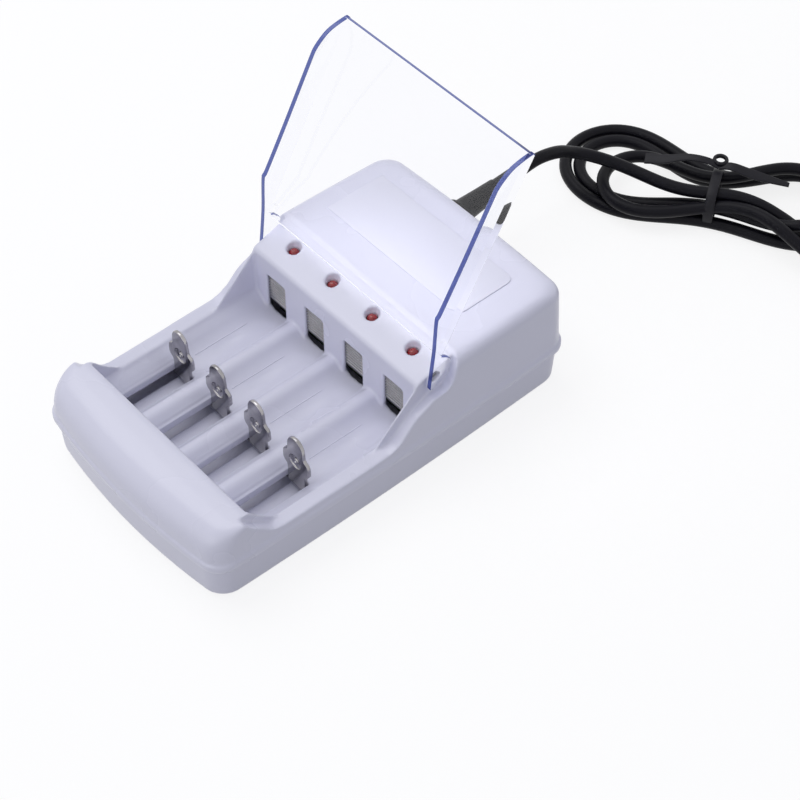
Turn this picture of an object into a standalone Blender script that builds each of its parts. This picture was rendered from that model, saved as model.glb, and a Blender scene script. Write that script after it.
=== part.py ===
"""Battery charger with four bays, sprung contacts, a clear hinged lid and a mains lead.

Metres, +Z up. X runs across the bays, Y from the front bumper to the rear wall, and the
origin is the middle of the base. The lid is modelled open, as it stands in use.
"""

import math

import bmesh
import bpy
from mathutils import Matrix, Vector

MM = 0.001

# Body
BODY_HEIGHT = 37.2 * MM
SIDE_BAND = 4.45 * MM
DECK_LENGTH = 42.9 * MM
SIDE_BOW = 0.95 * MM
FRONT_BOW = 3.4 * MM
REAR_BOW = 1.2 * MM
CORNER = 5.2 * MM
WALL = 1.9 * MM
SEAM_Z = 12.8 * MM
SEAM_GAP = 0.3 * MM
LIP_HEIGHT = 2.7 * MM
LIP_PROUD = 0.55 * MM
DRAFT = 0.035
BUMPER_HEIGHT = 26.4 * MM
BUMPER_BULGE = 13.0 * MM
BUMPER_FULLNESS = 2.6
BUMPER_CROWN = 0.25 * MM
DECK_ROUND_SIDE = 3.35 * MM
DECK_ROUND_REAR = 4.9 * MM
DECK_ROUND_DROP = 3.9 * MM
BASE_ROUND = 2.2 * MM
BASE_STEP = 1.0 * MM
FLOOR = 2.0 * MM

# Battery bays
CELLS = 4
PITCH = 17.0 * MM
CELL_RADIUS = 7.25 * MM
CELL_AXIS_Z = 19.4 * MM
TROUGH_PLAY = 1.05 * MM
SMALL_CELL_RADIUS = 5.25 * MM
GROOVE_DEPTH = 0.5 * MM
BUMPER_DEPTH = 17.1 * MM
BAY_LENGTH = 57.8 * MM
RIM_Z = 17.5 * MM
BAY_SIDE = 8.8 * MM
TUB_FLOOR = 1.75 * MM
WINDOW_WALL = 1.2 * MM
WINDOW_WIDTH = 8.0 * MM
WINDOW_TOP_DROP = 5.5 * MM
SLOT_WIDTH = 8.0 * MM
SLOT_END = 1.4 * MM

# Lamp ledge, hinge cheeks and lid
LEDGE_DROP = 5.5 * MM
LEDGE_ANGLE = math.radians(18.0)
LEDGE_DEPTH = 13.2 * MM
LAMP_SETBACK = 7.4 * MM
LAMP_HOLE_RADIUS = 2.2 * MM
PIVOT_SETBACK = 6.6 * MM
PIVOT_DROP = 4.7 * MM
PIN_RADIUS = 1.5 * MM
PIN_PLAY = 0.12 * MM
ARM_REACH = 4.8 * MM
LID_THICKNESS = 1.5 * MM
LID_LEAN = math.radians(60.2)
LID_PLATE_START = 7.6 * MM
LID_PLATE_DROP = 3.3 * MM
LID_OVERREACH = 5.95 * MM
LID_FLANGE = 8.5 * MM
LID_NOTCH = 3.8 * MM
LID_SIDE_GAP = 0.2 * MM

# Contacts, springs, lamps and boards
REST_GAP = 33.55 * MM
CONTACT_THICKNESS = 1.0 * MM
CONTACT_TOP_Z = 28.9 * MM
SHEET = 0.6 * MM
GAP = 0.3 * MM
RAIL_WIDTH = 5.0 * MM
RAIL_DROP = 1.7 * MM
SPRING_WIRE = 0.5 * MM
SPRING_RADIUS = 1.6 * MM
SPRING_TURNS = 8
SPRING_SIDE = 4.0 * MM
SPRING_SETBACK = 1.85 * MM
TAB_REACH = 10.2 * MM
BOARD_THICKNESS = 1.4 * MM
POWER_BOARD_THICKNESS = 1.6 * MM
POWER_BOARD_SIDE = 14.4 * MM
POWER_BOARD_FRONT = 2.6 * MM
POWER_BOARD_REAR = 5.6 * MM
POST_SETBACK = 3.4 * MM
TRANSFORMER_WIDTH = 22.0 * MM
TRANSFORMER_DEPTH = 19.0 * MM
TRANSFORMER_HEIGHT = 18.0 * MM
TRANSFORMER_EDGE = 5.0 * MM
COIL_DEPTH = 25.0 * MM
CAPACITOR_HEIGHT = 17.0 * MM
CAPACITOR_RADIUS = (5.0 * MM, 4.0 * MM)
LAMP_RADIUS = 1.5 * MM
LAMP_LENGTH = 5.0 * MM
SCREW_RADIUS = 1.4 * MM
BOSS_RADIUS = 3.3 * MM

# Label, strain relief, lead and plug
LABEL_LEFT = 9.75 * MM
LABEL_RIGHT = 13.55 * MM
LABEL_FRONT = 10.4 * MM
LABEL_REAR = 11.8 * MM
LABEL_CORNER = 2.6 * MM
LABEL_THICKNESS = 0.25 * MM
CORD_RADIUS = 2.0 * MM
BOOT_X = -16.5 * MM
BOOT_Z = 19.8 * MM
BOOT_LENGTH = 31.6 * MM
BOOT_RISE = 2.6 * MM
BOOT_RADIUS = 5.0 * MM
BOOT_NECK = 3.6 * MM
HANK_HEIGHT = 12.0 * MM
HANK_RADIUS = 24.5 * MM
FLOOR_GAP = 0.2 * MM
PLUG_LENGTH = 25.0 * MM
PLUG_WIDTH = 22.0 * MM
PLUG_HEIGHT = 14.0 * MM

# Places worked out from the sizes above
BODY_HALF_LENGTH = (BUMPER_DEPTH + BAY_LENGTH + LEDGE_DEPTH + DECK_LENGTH) / 2
BAY_FRONT = -BODY_HALF_LENGTH + BUMPER_DEPTH
WINDOW_Y = BAY_FRONT + BAY_LENGTH
CAVITY_Y = WINDOW_Y + WINDOW_WALL
LEDGE_Z = BODY_HEIGHT - LEDGE_DROP
WINDOW_TOP_Z = LEDGE_Z - WINDOW_TOP_DROP
LEDGE_REAR = WINDOW_Y + LEDGE_DEPTH
PIVOT = Vector((0.0, WINDOW_Y + PIVOT_SETBACK, BODY_HEIGHT - PIVOT_DROP))
LAMP_Y = WINDOW_Y + LAMP_SETBACK
CONTACT_Y = WINDOW_Y - REST_GAP
TROUGH_RADIUS = CELL_RADIUS + TROUGH_PLAY
TROUGH_Z = CELL_AXIS_Z - CELL_RADIUS
TUB_BOTTOM = TROUGH_Z - TUB_FLOOR
BAY_X = [(i - (CELLS - 1) / 2) * PITCH for i in range(CELLS)]
BAY_HALF = BAY_X[-1] + BAY_SIDE
CHEEK_OUT = BAY_HALF + 1.0 * MM
BODY_HALF_WIDTH = CHEEK_OUT + SIDE_BAND
LID_OUT = CHEEK_OUT + LID_SIDE_GAP + LID_THICKNESS
LID_PLATE_LENGTH = BAY_LENGTH + PIVOT_SETBACK - LID_PLATE_START + LID_OVERREACH
LIP_TOP = SEAM_Z + LIP_HEIGHT
BOARD_Y = LAMP_Y - BOARD_THICKNESS / 2
FAR = 0.2

parts = None
cutters = None


def start():
    """Empties the scene and makes the two collections."""
    global parts, cutters
    for thing in list(bpy.data.objects):
        bpy.data.objects.remove(thing)
    parts = bpy.data.collections.new("battery_charger")
    cutters = bpy.data.collections.new("cutters")
    for collection in (parts, cutters):
        bpy.context.scene.collection.children.link(collection)


def material(name, colour, roughness, metallic=0.0, alpha=1.0):
    """A Principled material."""
    made = bpy.data.materials.get(name) or bpy.data.materials.new(name)
    made.use_nodes = True
    shader = made.node_tree.nodes["Principled BSDF"]
    shader.inputs["Base Color"].default_value = (*colour, 1.0)
    shader.inputs["Roughness"].default_value = roughness
    shader.inputs["Metallic"].default_value = metallic
    shader.inputs["Alpha"].default_value = alpha
    return made


def keep(name, mesh, finish=None, smooth=30.0):
    """An object from a bmesh: a part where it has a finish, otherwise a cutter."""
    bmesh.ops.recalc_face_normals(mesh, faces=mesh.faces)
    data = bpy.data.meshes.new(name)
    mesh.to_mesh(data)
    mesh.free()
    thing = bpy.data.objects.new(name, data)
    if finish:
        data.materials.append(finish)
        data.shade_smooth()
        data.set_sharp_from_angle(angle=math.radians(smooth))
        parts.objects.link(thing)
    else:
        thing.hide_render = True
        thing.display_type = "WIRE"
        cutters.objects.link(thing)
    return thing


def combine(target, other, operation="DIFFERENCE"):
    """Cuts other out of target, or joins it on."""
    change = target.modifiers.new(other.name, "BOOLEAN")
    change.operation = operation
    change.object = other
    change.solver = "EXACT"
    return target


def prism(name, points, axis, low, high, finish=None):
    """A flat outline pulled along an axis: (y, z) for x, (x, z) for y, (x, y) for z."""
    place = {
        "x": lambda a, b, c: (c, a, b),
        "y": lambda a, b, c: (a, c, b),
        "z": lambda a, b, c: (a, b, c),
    }[axis]
    mesh = bmesh.new()
    base = mesh.faces.new([mesh.verts.new(place(a, b, low)) for a, b in points])
    pulled = bmesh.ops.extrude_face_region(mesh, geom=[base])
    moved = [v for v in pulled["geom"] if isinstance(v, bmesh.types.BMVert)]
    bmesh.ops.translate(mesh, verts=moved, vec=Vector(place(0.0, 0.0, high - low)))
    return keep(name, mesh, finish)


def box(name, low, high, finish=None):
    """A box between two corners."""
    mesh = bmesh.new()
    size = Vector(high) - Vector(low)
    middle = (Vector(high) + Vector(low)) / 2
    bmesh.ops.create_cube(mesh, size=1.0, matrix=Matrix.Translation(middle) @ Matrix.Diagonal((*size, 1.0)))
    return keep(name, mesh, finish)


def cylinder(name, middle, radius, length, axis="z", segments=24, finish=None):
    """A cylinder with its axis along x, y or z."""
    turn = {
        "x": Matrix.Rotation(math.pi / 2, 4, "Y"),
        "y": Matrix.Rotation(math.pi / 2, 4, "X"),
        "z": Matrix.Identity(4),
    }[axis]
    mesh = bmesh.new()
    bmesh.ops.create_cone(
        mesh, cap_ends=True, segments=segments, radius1=radius, radius2=radius, depth=length,
        matrix=Matrix.Translation(Vector(middle)) @ turn,
    )
    return keep(name, mesh, finish)


def loft(name, rings, finish=None):
    """A closed skin through rings of equal counts, capped at both ends."""
    mesh = bmesh.new()
    rows = [[mesh.verts.new(p) for p in ring] for ring in rings]
    count = len(rows[0])
    for lower, upper in zip(rows, rows[1:]):
        for i in range(count):
            j = (i + 1) % count
            mesh.faces.new((lower[i], lower[j], upper[j], upper[i]))
    mesh.faces.new(rows[0][::-1])
    mesh.faces.new(rows[-1])
    return keep(name, mesh, finish)


def outline(z, side, front, rear, corner=CORNER, front_bow=FRONT_BOW):
    """The body's bowed plan outline at a height, drawn in by an inset at each side."""
    half = BODY_HALF_WIDTH - side
    low = -BODY_HALF_LENGTH + front
    high = BODY_HALF_LENGTH - rear

    def side_x(y):
        return half - SIDE_BOW * (y / BODY_HALF_LENGTH) ** 2

    def front_y(x):
        return low + front_bow * (x / half) ** 2

    def rear_y(x):
        return high - REAR_BOW * (x / half) ** 2

    def bend(a, b, c, steps=4):
        """Points of a round corner from a to c, pulled towards b."""
        found = []
        for k in range(steps + 1):
            t = k / steps
            u = 1 - t
            pull_a = a.lerp(b, 0.56)
            pull_c = c.lerp(b, 0.56)
            found.append(u**3 * a + 3 * u * u * t * pull_a + 3 * u * t * t * pull_c + t**3 * c)
        return found

    front_corner = Vector((side_x(low), front_y(half)))
    rear_corner = Vector((side_x(high), rear_y(half)))
    y_low = front_corner.y + corner
    y_high = rear_corner.y - corner
    x_front = front_corner.x - corner
    x_rear = rear_corner.x - corner
    right = []
    for k in range(3):
        x = x_front * k / 3
        right.append(Vector((x, front_y(x))))
    right += bend(Vector((x_front, front_y(x_front))), front_corner, Vector((side_x(y_low), y_low)))
    for k in range(1, 6):
        y = y_low + (y_high - y_low) * k / 6
        right.append(Vector((side_x(y), y)))
    right += bend(Vector((side_x(y_high), y_high)), rear_corner, Vector((x_rear, rear_y(x_rear))))
    for k in range(2, -1, -1):
        x = x_rear * k / 3
        right.append(Vector((x, rear_y(x))))
    left = [Vector((-p.x, p.y)) for p in right[-2:0:-1]]
    return [(p.x, p.y, z) for p in right + left]


def upper_levels(inset, top, bulge):
    """The upper shell's outlines from the lip to the deck, all drawn in by an inset."""
    def draft(z):
        return LIP_PROUD + DRAFT * (z - LIP_TOP)

    rings = []
    base = LIP_TOP + 0.15 * MM
    crest = BUMPER_HEIGHT + BUMPER_CROWN - inset
    rise = crest - 0.1 * MM - base
    power = 2 / BUMPER_FULLNESS
    for angle in (0, 25, 42, 56, 69, 80):
        turn = math.radians(angle)
        z = base + rise * math.sin(turn) ** power
        share = 1 - math.cos(turn) ** power
        bow = FRONT_BOW * (1 - share)
        rings.append((z, draft(z), LIP_PROUD + bulge * share, draft(z), CORNER, bow))
    rings.append((crest, draft(crest), BUMPER_DEPTH, draft(crest), CORNER, 0.0))
    start_z = top - (DECK_ROUND_DROP - inset * 0.5)
    for angle in (0, 25, 50, 72, 90):
        turn = math.radians(angle)
        z = start_z + (top - start_z) * math.sin(turn)
        ease = 1 - math.cos(turn)
        side = draft(start_z) + DECK_ROUND_SIDE * ease
        rear = draft(start_z) + DECK_ROUND_REAR * ease
        rings.append((z, side, BUMPER_DEPTH + DECK_ROUND_SIDE * ease, rear, CORNER + 1.2 * MM * ease, 0.0))
    small = 2 * MM
    shrink = [(z, s + inset, f + inset, r + inset, max(c - inset, small), b) for z, s, f, r, c, b in rings]
    return [outline(*ring_sizes) for ring_sizes in shrink]


def rim_profile(drop=0.0):
    """Side view of all that is open above the bays, over the inner cheeks and the ledge."""
    rise = LEDGE_Z - RIM_Z
    foot = WINDOW_Y - rise
    s_curve = [(1.0, 0.0), (0.93, 0.1), (0.75, 0.3), (0.55, 0.52), (0.35, 0.74), (0.17, 0.9), (0.0, 1.0)]
    drop_height = BUMPER_HEIGHT - RIM_Z
    run = 8.4 * MM
    points = [(-FAR, BUMPER_HEIGHT + 1.0 * MM), (BAY_FRONT - 5.0 * MM, BUMPER_HEIGHT + 2 * BUMPER_CROWN)]
    points.append((BAY_FRONT, BUMPER_HEIGHT))
    points += [(BAY_FRONT + run * b, RIM_Z + drop_height * a) for a, b in s_curve]
    fillet = 1.6 * MM
    points += [(foot - fillet, RIM_Z), (foot, RIM_Z + 0.35 * fillet), (foot + fillet, RIM_Z + 1.15 * fillet)]
    points.append((WINDOW_Y - 0.3 * MM, LEDGE_Z - 0.3 * MM))
    slope = math.tan(LEDGE_ANGLE)
    edge = 1.9 * MM
    points.append((WINDOW_Y + 0.25 * MM, LEDGE_Z + 0.55 * MM))
    points.append((WINDOW_Y + edge * 0.5, LEDGE_Z + 0.95 * MM))
    points.append((WINDOW_Y + edge, LEDGE_Z + 1.3 * MM))
    rear = WINDOW_Y + LEDGE_DEPTH
    points.append((rear - 0.6 * MM, LEDGE_Z + 1.3 * MM + (LEDGE_DEPTH - edge - 0.6 * MM) * slope))
    points.append((rear + 0.2 * MM, BODY_HEIGHT - 0.35 * MM))
    points.append((rear + 1.0 * MM, BODY_HEIGHT + 0.04 * MM))
    points += [(rear + 2.0 * MM, BODY_HEIGHT + 3.0 * MM), (rear + 2.0 * MM, FAR), (-FAR, FAR)]
    return [(y, z - drop) for y, z in points]


def seat_profile(drop=0.0):
    """Side view of the low band beyond each cheek: a scoop behind the bumper, then the arm's seat."""
    reach = ARM_REACH
    rim = RIM_Z + 0.05 * MM
    rise = BUMPER_HEIGHT - RIM_Z
    run = 14.1 * MM
    scoop = ((0.0, 1.0), (0.07, 0.86), (0.17, 0.68), (0.28, 0.49), (0.43, 0.32), (0.61, 0.16), (0.79, 0.05))
    begin = BAY_FRONT - 6.2 * MM
    points = [(-FAR, BUMPER_HEIGHT + 1.0 * MM), (begin - 0.4 * MM, BUMPER_HEIGHT + 1.0 * MM)]
    points += [(begin + run * a, rim + rise * b) for a, b in scoop]
    y = WINDOW_Y
    points += [(y - 14.2 * MM, rim), (y - 11.4 * MM, rim + 0.2 * MM), (y - 8.9 * MM, rim + 1.4 * MM)]
    points += [(y - 4.2 * MM, rim + 6.0 * MM), (y - 2.4 * MM, rim + 7.2 * MM), (y + 1.0 * MM, rim + 8.7 * MM)]
    for angle in (-110, -90, -60, -30, 0):
        turn = math.radians(angle)
        points.append((PIVOT.y + reach * math.cos(turn), PIVOT.z + reach * math.sin(turn)))
    points.append((PIVOT.y + reach + 1.8 * MM, BODY_HEIGHT + 1 * MM))
    points += [(PIVOT.y + reach + 1.8 * MM, FAR), (-FAR, FAR)]
    return [(y, z - drop) for y, z in points]


def bay_profile():
    """Front view of the bays: a row of troughs with soft ridges, open at the top."""
    axis_z = TROUGH_Z + TROUGH_RADIUS
    reach = PITCH / 2 - 2.3 * MM
    limit = math.asin(reach / TROUGH_RADIUS)
    points = [(-BAY_HALF, FAR), (-BAY_HALF, RIM_Z + 0.02 * MM), (-BAY_HALF + 0.45 * MM, RIM_Z - 0.7 * MM)]
    for i, x in enumerate(BAY_X):
        for k in range(9):
            turn = -limit + 2 * limit * k / 8
            points.append((x + TROUGH_RADIUS * math.sin(turn), axis_z - TROUGH_RADIUS * math.cos(turn)))
        if i < CELLS - 1:
            top = axis_z - TROUGH_RADIUS * math.cos(limit) + 0.9 * MM
            points += [(x + PITCH / 2 - 0.9 * MM, top), (x + PITCH / 2 + 0.9 * MM, top)]
    points += [(BAY_HALF - 0.45 * MM, RIM_Z - 0.7 * MM), (BAY_HALF, RIM_Z + 0.02 * MM), (BAY_HALF, FAR)]
    return points


def screw_places():
    """Plan places of the four case screws."""
    front = -BODY_HALF_LENGTH + 10.7 * MM
    rear = BODY_HALF_LENGTH - 9.6 * MM
    across = BODY_HALF_WIDTH - 10.2 * MM
    return [(x, y) for y in (front, rear) for x in (-across, across)]


def upper_cavity():
    """The hollow of the upper shell, with the tub, the rims and the cheeks left solid."""
    rings = [outline(SEAM_Z - 3 * MM, WALL, WALL, WALL, CORNER - WALL)]
    rings.append(outline(LIP_TOP - 0.3 * MM, WALL, WALL, WALL, CORNER - WALL))
    hollow = loft("cavity", rings + upper_levels(WALL, BODY_HEIGHT - WALL, BUMPER_BULGE - 1.5 * MM))
    combine(hollow, prism("keep_rims", rim_profile(drop=WALL + 0.3 * MM), "x", -FAR, FAR))
    tub_side = CHEEK_OUT + 0.4 * MM
    combine(hollow, box("keep_tub", (-tub_side, BAY_FRONT - WALL, TUB_BOTTOM), (tub_side, CAVITY_Y, FAR)))
    bridge = (-FAR, BAY_FRONT - WALL - 0.2 * MM, SEAM_Z + 2.1 * MM)
    combine(hollow, box("keep_bumper", bridge, (FAR, BAY_FRONT + 10.0 * MM, FAR)))
    for side in (-1, 1):
        inner = side * (CHEEK_OUT - WALL)
        low, high = sorted((inner, side * FAR))
        name = "left" if side < 0 else "right"
        combine(hollow, prism(f"keep_seat_{name}", seat_profile(drop=WALL), "x", low, high))
        guard_low = (low, CAVITY_Y - 1 * MM, RIM_Z + 6.0 * MM)
        combine(hollow, box(f"keep_cheek_{name}", guard_low, (high, LEDGE_REAR + 2.6 * MM, FAR)))
    return hollow


def make_upper_shell(finish):
    """The white moulding with the bays, the bumper, the lamp ledge and the deck."""
    lip = [
        outline(SEAM_Z, 0.3 * MM, 0.3 * MM, 0.3 * MM),
        outline(SEAM_Z + 0.35 * MM, 0, 0, 0),
        outline(LIP_TOP - 0.3 * MM, 0, 0, 0),
        outline(LIP_TOP, 0.3 * MM, 0.3 * MM, 0.3 * MM),
    ]
    shell = loft("upper_shell", lip + upper_levels(0.0, BODY_HEIGHT, BUMPER_BULGE), finish)
    combine(shell, upper_cavity())
    tub_side = CHEEK_OUT + 0.4 * MM
    tub_low = (-tub_side, BAY_FRONT - WALL, TUB_BOTTOM)
    combine(shell, box("tub", tub_low, (tub_side, CAVITY_Y, SEAM_Z + 1.5 * MM)), "UNION")
    combine(shell, prism("open_sky", rim_profile(), "x", -FAR, FAR))
    for side, name in ((-1, "left"), (1, "right")):
        low, high = sorted((side * CHEEK_OUT, side * FAR / 2))
        combine(shell, prism(f"arm_seat_{name}", seat_profile(), "x", low, high))
        hole_x = side * (CHEEK_OUT - WALL / 2)
        hole = cylinder(f"pin_hole_{name}", (hole_x, PIVOT.y, PIVOT.z), PIN_RADIUS + PIN_PLAY, 2 * WALL, "x")
        combine(shell, hole)
    combine(shell, prism("bays", bay_profile(), "y", BAY_FRONT, WINDOW_Y))
    for i, x in enumerate(BAY_X):
        n = i + 1
        groove_z = TROUGH_Z - GROOVE_DEPTH + SMALL_CELL_RADIUS
        groove_low = CONTACT_Y + 6.2 * MM
        groove_high = WINDOW_Y - 8.9 * MM
        groove_mid = (x, (groove_low + groove_high) / 2, groove_z)
        combine(shell, cylinder(
            f"small_cell_groove_{n}", groove_mid, SMALL_CELL_RADIUS, groove_high - groove_low, "y", 48))
        slot_low = (x - SLOT_WIDTH / 2, BAY_FRONT + SLOT_END, TUB_BOTTOM - 1 * MM)
        slot_high = (x + SLOT_WIDTH / 2, CONTACT_Y + 0.45 * MM, CELL_AXIS_Z)
        combine(shell, box(f"slot_{n}", slot_low, slot_high))
        window_low = (x - WINDOW_WIDTH / 2, WINDOW_Y - 1 * MM, TROUGH_Z + 0.1 * MM)
        window_high = (x + WINDOW_WIDTH / 2, CAVITY_Y + 0.5 * MM, WINDOW_TOP_Z)
        combine(shell, box(f"window_{n}", window_low, window_high))
        combine(shell, cylinder(f"lamp_hole_{n}", (x, LAMP_Y, LEDGE_Z), LAMP_HOLE_RADIUS, 14 * MM, "z", 32))
    for i, (x, y) in enumerate(screw_places()):
        n = i + 1
        roof = BUMPER_HEIGHT - WALL / 2 - 0.7 * MM if y < 0 else BODY_HEIGHT - WALL / 2
        low = SEAM_Z + 0.4 * MM
        boss = cylinder(f"upper_boss_{n}", (x, y, (low + roof) / 2), BOSS_RADIUS, roof - low)
        combine(shell, boss, "UNION")
        pilot = cylinder(f"pilot_{n}", (x, y, low), SCREW_RADIUS + GAP, 14.0 * MM, segments=16)
        combine(shell, pilot)
    rear = BODY_HALF_LENGTH
    hole = (BOOT_X, rear - 1.5 * MM, BOOT_Z)
    combine(shell, cylinder("cord_hole", hole, BOOT_NECK + GAP, 12 * MM, "y", 32))
    return shell


def make_lower_shell(finish):
    """The white base: floor, walls, register lip, contact rails, posts and screw wells."""
    top = SEAM_Z - SEAM_GAP
    rings = []
    for angle in (90, 62, 38, 18, 0):
        turn = math.radians(angle)
        inset = BASE_STEP + 0.45 * MM + BASE_ROUND * (1 - math.cos(turn))
        rings.append(outline(BASE_ROUND * (1 - math.sin(turn)), inset, inset, inset))
    rings.append(outline(top, BASE_STEP, BASE_STEP, BASE_STEP))
    lip = WALL + GAP
    rings.append(outline(top + 0.001 * MM, lip, lip, lip))
    rings.append(outline(top + 1.8 * MM, lip, lip, lip))
    shell = loft("lower_shell", rings, finish)
    inner = lip + 1.0 * MM
    hollow = [
        outline(FLOOR, inner + 2.4 * MM, inner + 2.4 * MM, inner + 2.4 * MM),
        outline(FLOOR + 0.7 * MM, inner + 0.9 * MM, inner + 0.9 * MM, inner + 0.9 * MM),
        outline(FLOOR + 2.4 * MM, inner, inner, inner),
        outline(top + 5 * MM, inner, inner, inner),
    ]
    combine(shell, loft("base_hollow", hollow))
    sunk = FLOOR - 0.5 * MM
    rail_top = TUB_BOTTOM - RAIL_DROP
    for i, x in enumerate(BAY_X):
        n = i + 1
        low = (x - RAIL_WIDTH / 2, BAY_FRONT + 1.0 * MM, sunk)
        high = (x + RAIL_WIDTH / 2, CONTACT_Y - 1.6 * MM, rail_top)
        combine(shell, box(f"rail_{n}", low, high), "UNION")
        post_y = spring_rear() + SPRING_WIRE / 2 + GAP + 1.5 * MM
        post_top = spring_z() + SPRING_RADIUS
        post = cylinder(f"spring_post_{n}", (x + SPRING_SIDE, post_y, (sunk + post_top) / 2),
                        1.5 * MM, post_top - sunk, segments=16)
        combine(shell, post, "UNION")
    for side, name in ((-1, "left"), (1, "right")):
        x = side * (BAY_HALF - 6.0 * MM)
        low = (x - 2 * MM, BOARD_Y - 1.2 * MM, sunk)
        high = (x + 2 * MM, BOARD_Y + BOARD_THICKNESS + 1.2 * MM, board_bottom() - GAP)
        combine(shell, box(f"board_rest_{name}", low, high), "UNION")
    for i, (x, y) in enumerate(board_posts()):
        high = power_board_z() - GAP
        post = cylinder(f"board_post_{i + 1}", (x, y, (sunk + high) / 2), 2.5 * MM, high - sunk, segments=16)
        combine(shell, post, "UNION")
    for i, (x, y) in enumerate(screw_places()):
        n = i + 1
        high = SEAM_Z + 0.1 * MM
        middle = (x, y, (sunk + high) / 2)
        boss = cylinder(f"lower_boss_{n}", middle, BOSS_RADIUS + 0.9 * MM, high - sunk)
        combine(shell, boss, "UNION")
        middle = (x, y, screw_seat() / 2 - 1 * MM)
        well = cylinder(f"screw_well_{n}", middle, 3.2 * MM, screw_seat() + 2 * MM)
        combine(shell, well)
        combine(shell, cylinder(f"screw_way_{n}", (x, y, SEAM_Z), SCREW_RADIUS + GAP, 12 * MM, segments=16))
    return shell


def screw_seat():
    """Height of the shoulder that a screw's head bears on."""
    return SEAM_Z - 4.6 * MM


def spring_z():
    """Height of the springs' axis."""
    return FLOOR + SPRING_RADIUS + SPRING_WIRE + 1.6 * MM


def tab_y():
    """Rear face of the tab on a contact's foot that its spring pulls on."""
    return CONTACT_Y + TAB_REACH


def spring_rear():
    """Rear end of a spring."""
    return WINDOW_Y - SPRING_SETBACK


def board_bottom():
    """Lower edge of the upright contact board."""
    return FLOOR + 3.0 * MM


def power_board_z():
    """Underside of the power board."""
    return FLOOR + 3.3 * MM


def power_board_span():
    """Plan corners of the power board."""
    half = BODY_HALF_WIDTH - POWER_BOARD_SIDE
    front = BOARD_Y + BOARD_THICKNESS + POWER_BOARD_FRONT
    return (-half, front), (half, BODY_HALF_LENGTH - POWER_BOARD_REAR)


def board_posts():
    """Plan places of the posts under the power board."""
    (x0, y0), (x1, y1) = power_board_span()
    edge = POST_SETBACK
    return [(x, y) for x in (x0 + edge, x1 - edge) for y in (y0 + edge, y1 - edge)]


def make_screws(finish):
    """Four pan head case screws, each seated in its well with its shank in the boss above."""
    for i, (x, y) in enumerate(screw_places()):
        n = i + 1
        head_top = screw_seat() - GAP
        head = cylinder(f"case_screw_{n}", (x, y, head_top - 0.9 * MM), 2.7 * MM, 1.8 * MM, segments=20,
                        finish=finish)
        shank = cylinder(f"shank_{n}", (x, y, head_top + 4.5 * MM), SCREW_RADIUS, 10 * MM, segments=12)
        combine(head, shank, "UNION")
        for k, (a, b) in enumerate(((1.5, 0.3), (0.3, 1.5))):
            low = (x - a * MM, y - b * MM, head_top - 3 * MM)
            high = (x + a * MM, y + b * MM, head_top - 0.9 * MM)
            combine(head, box(f"recess_{n}_{k + 1}", low, high))


def head_outline(x):
    """Front view of a negative contact: round top, ears, neck and a foot below the slot."""
    half = [(0.0, 0.0), (1.3, 0.3), (2.4, 1.2), (3.1, 2.7), (3.3, 4.7), (3.4, 6.3), (4.5, 7.0), (5.2, 7.9)]
    half += [(5.4, 9.3), (5.4, 11.0), (4.8, 12.1), (3.7, 12.8)]
    right = [(across * MM, CONTACT_TOP_Z - down * MM) for across, down in half]
    right.append((SLOT_WIDTH / 2 - 0.35 * MM, foot_z() + SHEET / 2))
    left = [(-a, b) for a, b in right[:0:-1]]
    return [(x + a, b) for a, b in right + left]


def foot_z():
    """Underside of the contacts' feet, which run between the rails and the tub."""
    return TUB_BOTTOM - GAP - SHEET


def make_negative_contacts(finish):
    """Plated contacts that stand through the slots and slide forward for a longer cell."""
    for i, x in enumerate(BAY_X):
        n = i + 1
        front = CONTACT_Y - CONTACT_THICKNESS
        plate = prism(f"negative_contact_{n}", head_outline(x), "y", front, CONTACT_Y, finish)
        foot_half = SLOT_WIDTH / 2 + 1.5 * MM
        foot_low = (x - foot_half, front, foot_z())
        foot = box(f"foot_{n}", foot_low, (x + foot_half, tab_y(), foot_z() + SHEET))
        combine(plate, foot, "UNION")
        tab_x = x + SPRING_SIDE
        low = (tab_x - 1.1 * MM, tab_y() - SHEET, spring_z() - 1.2 * MM)
        combine(plate, box(f"tab_{n}", low, (tab_x + 1.1 * MM, tab_y(), foot_z() + SHEET / 2)), "UNION")
        centre = Vector((x, CONTACT_Y - 2.4 * MM, CELL_AXIS_Z))
        place = Matrix.Translation(centre) @ Matrix.Rotation(math.pi / 2, 4, "X")
        for name, radius, operation in (("dimple", 3.3, "UNION"), ("bowl", 2.8, "DIFFERENCE")):
            mesh = bmesh.new()
            bmesh.ops.create_uvsphere(mesh, u_segments=16, v_segments=10, radius=radius * MM, matrix=place)
            if operation == "UNION":
                geometry = mesh.verts[:] + mesh.edges[:] + mesh.faces[:]
                bmesh.ops.bisect_plane(mesh, geom=geometry, plane_co=(x, CONTACT_Y - 0.4 * MM, 0),
                                       plane_no=(0, 1, 0), clear_inner=True)
                edges = [e for e in mesh.edges if e.is_boundary]
                bmesh.ops.holes_fill(mesh, edges=edges)
            combine(plate, keep(f"{name}_{n}", mesh), operation)


def make_springs(finish):
    """Extension springs between the contacts' tabs and the posts of the base."""
    for i, bay_x in enumerate(BAY_X):
        n = i + 1
        x = bay_x + SPRING_SIDE
        low = tab_y() + GAP + SPRING_WIRE / 2
        high = spring_rear() - SPRING_WIRE / 2
        tail = 1.6 * MM
        points = [(x, low, spring_z())]
        steps = SPRING_TURNS * 8
        for k in range(steps + 1):
            turn = 2 * math.pi * k / 8
            y = low + tail + (high - low - 2 * tail) * k / steps
            z = spring_z() + SPRING_RADIUS * math.cos(turn)
            points.append((x + SPRING_RADIUS * math.sin(turn), y, z))
        points.append((x, high, spring_z()))
        tube(f"contact_spring_{n}", points, SPRING_WIRE / 2, finish, 0)


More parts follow.
